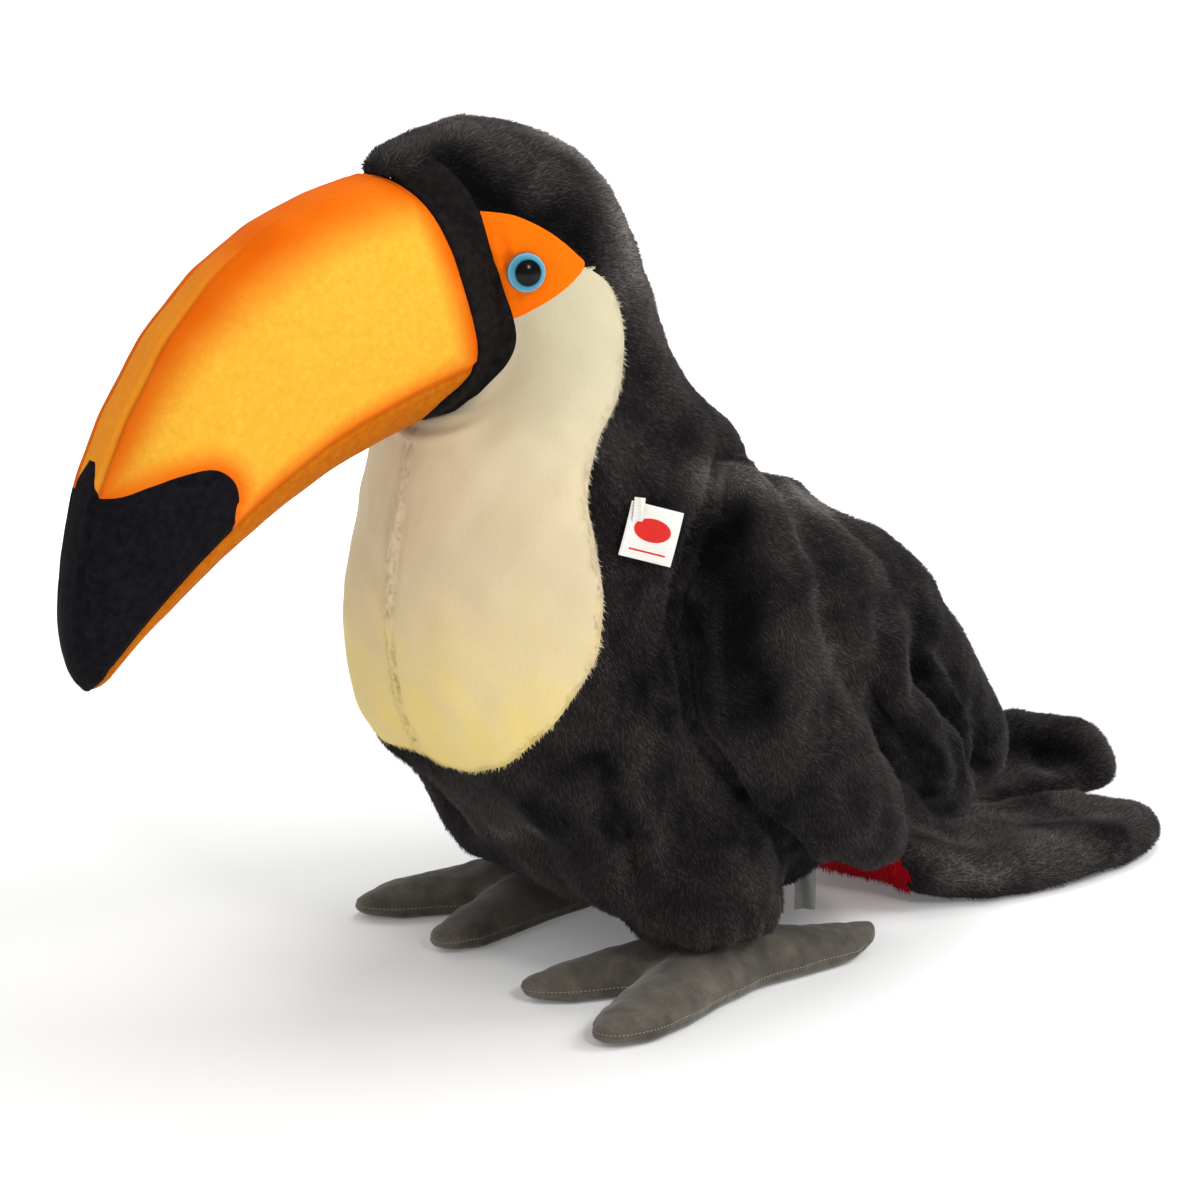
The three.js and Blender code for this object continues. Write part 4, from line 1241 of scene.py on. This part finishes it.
def sheetPiece(name, plan, ragged=0.0):  # a thin bent sheet with closed edges, standing on its own axes
    width, height = plan["size"]
    centre = np.array(plan["centre"])
    facing = unit(np.array(plan["facing"], float))
    across = unit(np.cross((0, 0, 1), facing))
    upward = np.cross(facing, across)
    tilt = math.radians(plan["tilt"])
    across, upward = (across * math.cos(tilt) + upward * math.sin(tilt),
                      upward * math.cos(tilt) - across * math.sin(tilt))
    columns, rows = 16, 24
    points = []
    for layer in (0.5, -0.5):
        for j in range(rows + 1):
            for i in range(columns + 1):
                u, v = i / columns - 0.5, j / rows - 0.5
                rag = ragged * math.sin(7 * v * 6.3 + 3 * layer) * abs(2 * u) ** 6
                bend = math.sin(math.pi * (v + 0.5)) - 0.5 + 0.5 * math.sin(2.3 * math.pi * u + 2 * v)
                outward = facing * (plan["bow"] * bend + layer * plan["thick"])
                points.append(centre + across * (u * width + rag) + upward * v * height + outward)
    stride = columns + 1
    back = stride * (rows + 1)
    faces = []
    for j in range(rows):
        for i in range(columns):
            low = j * stride + i
            quad = (low, low + 1, low + 1 + stride, low + stride)
            faces.append(quad)
            faces.append(tuple(back + k for k in reversed(quad)))
    rim = list(range(stride)) + [j * stride + columns for j in range(1, rows + 1)]
    rim += [rows * stride + i for i in reversed(range(columns))]
    rim += [j * stride for j in reversed(range(1, rows))]
    faces += [(b, a, back + a, back + b) for a, b in zip(rim, rim[1:] + rim[:1])]
    piece = newPiece(name, meshOf(name, toRow(points), faces))
    bake(piece, ("BEVEL", {"width": 0.12 * mm, "segments": 1, "limit_method": "ANGLE"}))
    return piece, (across, upward, facing)


def cardMaterial(centre, across, upward):
    # White coated card, die cut: smooth, faintly warm, with paper fibre, a plain red oval and a thin rule.
    material, tree, shader, place = newMaterial("white_coated_card", {
        "Roughness": 0.45, "Specular IOR Level": 0.2,
    })
    fibre = addNode(tree, "TexNoise", pattern(place, 1.5, Detail=3))
    tone = addNode(tree, "Mix", {0: fibre, 6: colour("#d3d0ca"), 7: colour("#e2dfda")}, data_type="RGBA")
    offset = addNode(tree, "VectorMath", {0: place, 1: centre}, operation="SUBTRACT")
    for middle, halves, power in tag["marks"]:
        parts = []
        for axis, shift, half in zip((across, upward), middle, halves):
            along = addNode(tree, "VectorMath", {0: offset, 1: axis}, operation="DOT_PRODUCT")
            share = addNode(tree, "MapRange", {
                "Value": along.outputs["Value"], "From Min": shift * mm, "From Max": (shift + half) * mm,
            }, clamp=False)
            size = addNode(tree, "Math", {0: share}, operation="ABSOLUTE")
            parts.append(addNode(tree, "Math", {0: size, 1: power}, operation="POWER"))
        edge = addNode(tree, "Math", {0: parts[0], 1: parts[1]}, operation="ADD")
        inside = addNode(tree, "MapRange", {
            "Value": edge, "From Min": 0.95, "From Max": 1.05, "To Min": 1.0, "To Max": 0.0,
        }, clamp=True)
        tone = addNode(tree, "Mix", {0: inside, 6: tone.outputs[2], 7: colour("#c8241d")}, data_type="RGBA")
    finishMaterial(tree, shader, tone.outputs[2], fibre, strength=0.1, depth=0.1)
    return material


def wovenMaterial(name, pale, deep, gloss):
    # Woven ribbon: warp threads 0.3 mm apart, drawn about three times coarser so that they show.
    material, tree, shader, place = newMaterial(name, {"Roughness": gloss, "Sheen Weight": 0.2})
    weave = pattern(place, 1 / 0.3, Distortion=0.6, Detail=1.0)  # a wave repeats every 0.3 of its size
    threads = addNode(tree, "TexWave", weave, bands_direction="Z").outputs["Fac"]
    fuzz = addNode(tree, "TexNoise", pattern(place, 3, Detail=2))
    both = addNode(tree, "Math", {0: threads, 1: fuzz}, operation="MULTIPLY")
    tone = addNode(tree, "Mix", {0: both, 6: colour(deep), 7: colour(pale)}, data_type="RGBA")
    finishMaterial(tree, shader, tone.outputs[2], threads, strength=0.4, depth=0.2)
    return material


cardPiece, axes = sheetPiece("swing_tag_card", tag["card"])
ribbonCentre = np.array(tag["card"]["centre"]) + sum(a * o for a, o in zip(axes, tag["ribbon"]["offset"]))
ribbonPlan = {**tag["ribbon"], "centre": ribbonCentre, "facing": tag["card"]["facing"]}
ribbonPiece, _ = sheetPiece("tag_ribbon_scrap", ribbonPlan, ragged=0.8)
labelPiece, _ = sheetPiece("satin_sewn_label", tag["label"])
card = cardMaterial(toRow(tag["card"]["centre"]), axes[0], axes[1])
ribbon = wovenMaterial("white_woven_ribbon", "#f4f2ec", "#c9c6bd", 0.6)
satin = wovenMaterial("grey_woven_satin", "#b2b2ae", "#8b8b87", 0.4)
finishPiece(cardPiece, card, "white_card", "swing_tag")
finishPiece(ribbonPiece, ribbon, "white_ribbon", "tag_ribbon")
finishPiece(labelPiece, satin, "grey_satin", "sewn_label")
print("labels done")


studio = {
    "target": (0, -22, 286), "azimuth": 54, "elevation": 15.5, "distance": 2600, "focal": 101.3,
    "floor": 40.0,
    "lights": [  # azimuth, elevation, distance m, width m, watts
        (100, 44, 2.6, 1.3, 15),
        (84, 34, 2.4, 0.4, 12),
        (200, 62, 2.4, 1.7, 36),
        (150, 35, 2.8, 1.2, 36),
        (15, 35, 3.0, 2.0, 16),
        (-70, 35, 3.2, 1.8, 10),
    ],
    "sky": {"light": 0.42, "seen": 1.0},
    "glow": {"near": 0.12, "far": 1.0, "from": 0.45, "to": 2.4},  # painted light: the floor itself glows, faintly near the toy and fully far from it
}


def fromAround(azimuth, elevation, distance):  # a place round the bird: 0 is before its face, 90 its left
    a, e = math.radians(azimuth), math.radians(elevation)
    return np.array([math.sin(a) * math.cos(e), -math.cos(a) * math.cos(e), math.sin(e)]) * distance


def aim(item, place, target):
    bpy.context.scene.collection.objects.link(item)
    item.location = place
    item.rotation_euler = (Vector(target) - item.location).to_track_quat("-Z", "Y").to_euler()


target = toRow([studio["target"]])[0]
stand = np.array(studio["target"]) + fromAround(studio["azimuth"], studio["elevation"], studio["distance"])
camera = bpy.data.objects.new("camera", bpy.data.cameras.new("camera"))
camera.data.lens = studio["focal"]
camera.data.sensor_width = 36
camera.data.clip_end = 100
aim(camera, toRow([stand])[0], target)
bpy.context.scene.camera = camera

floorMaterial, tree, shader, place = newMaterial("pale_studio_floor", {
    "Roughness": 0.7, "Specular IOR Level": 0.2, "Emission Color": colour("#ffffff"),
})
mottle = addNode(tree, "TexNoise", {"Vector": place, "Scale": 3.0, "Detail": 2})
tone = addNode(tree, "Mix", {0: mottle, 6: colour("#e4e4e3"), 7: colour("#e8e8e7")}, data_type="RGBA")
tree.links.new(tone.outputs[2], shader.inputs["Base Color"])
# painted light: the floor's own glow rises with its distance from the toy
away = addNode(tree, "VectorMath", {0: place}, operation="LENGTH").outputs["Value"]
paintedFloorGlow = studio["glow"]
glow = addNode(tree, "MapRange", {
    "Value": away, "From Min": paintedFloorGlow["from"], "From Max": paintedFloorGlow["to"], "To Min": paintedFloorGlow["near"],
    "To Max": paintedFloorGlow["far"],
}, interpolation_type="SMOOTHSTEP")
tree.links.new(glow.outputs[0], shader.inputs["Emission Strength"])
half = studio["floor"] / 2
corners = [(-half, -half, 0), (half, -half, 0), (half, half, 0), (-half, half, 0)]
floor = newPiece("floor", meshOf("floor", corners, [(0, 1, 2, 3)]))
floor.data.materials.append(floorMaterial)

for number, (azimuth, elevation, distance, width, watts) in enumerate(studio["lights"]):
    lamp = bpy.data.lights.new(f"softbox_{number}", "AREA")
    lamp.shape = "DISK"
    lamp.size = width
    lamp.energy = watts
    softbox = bpy.data.objects.new(f"softbox_{number}", lamp)
    softbox.visible_glossy = width < 0.5  # only the small lamp is mirrored in the eyes
    aim(softbox, target + fromAround(azimuth, elevation, distance), target)

world = bpy.data.worlds.new("studio")
bpy.context.scene.world = world
world.use_nodes = True
seen = addNode(world.node_tree, "LightPath", {}).outputs["Is Camera Ray"]
sky = addNode(world.node_tree, "MapRange", {
    "Value": seen, "To Min": studio["sky"]["light"], "To Max": studio["sky"]["seen"],
})
background = world.node_tree.nodes["Background"]
background.inputs["Color"].default_value = colour("#ffffff")
world.node_tree.links.new(sky.outputs[0], background.inputs["Strength"])
bpy.context.scene.view_settings.view_transform = "Standard"
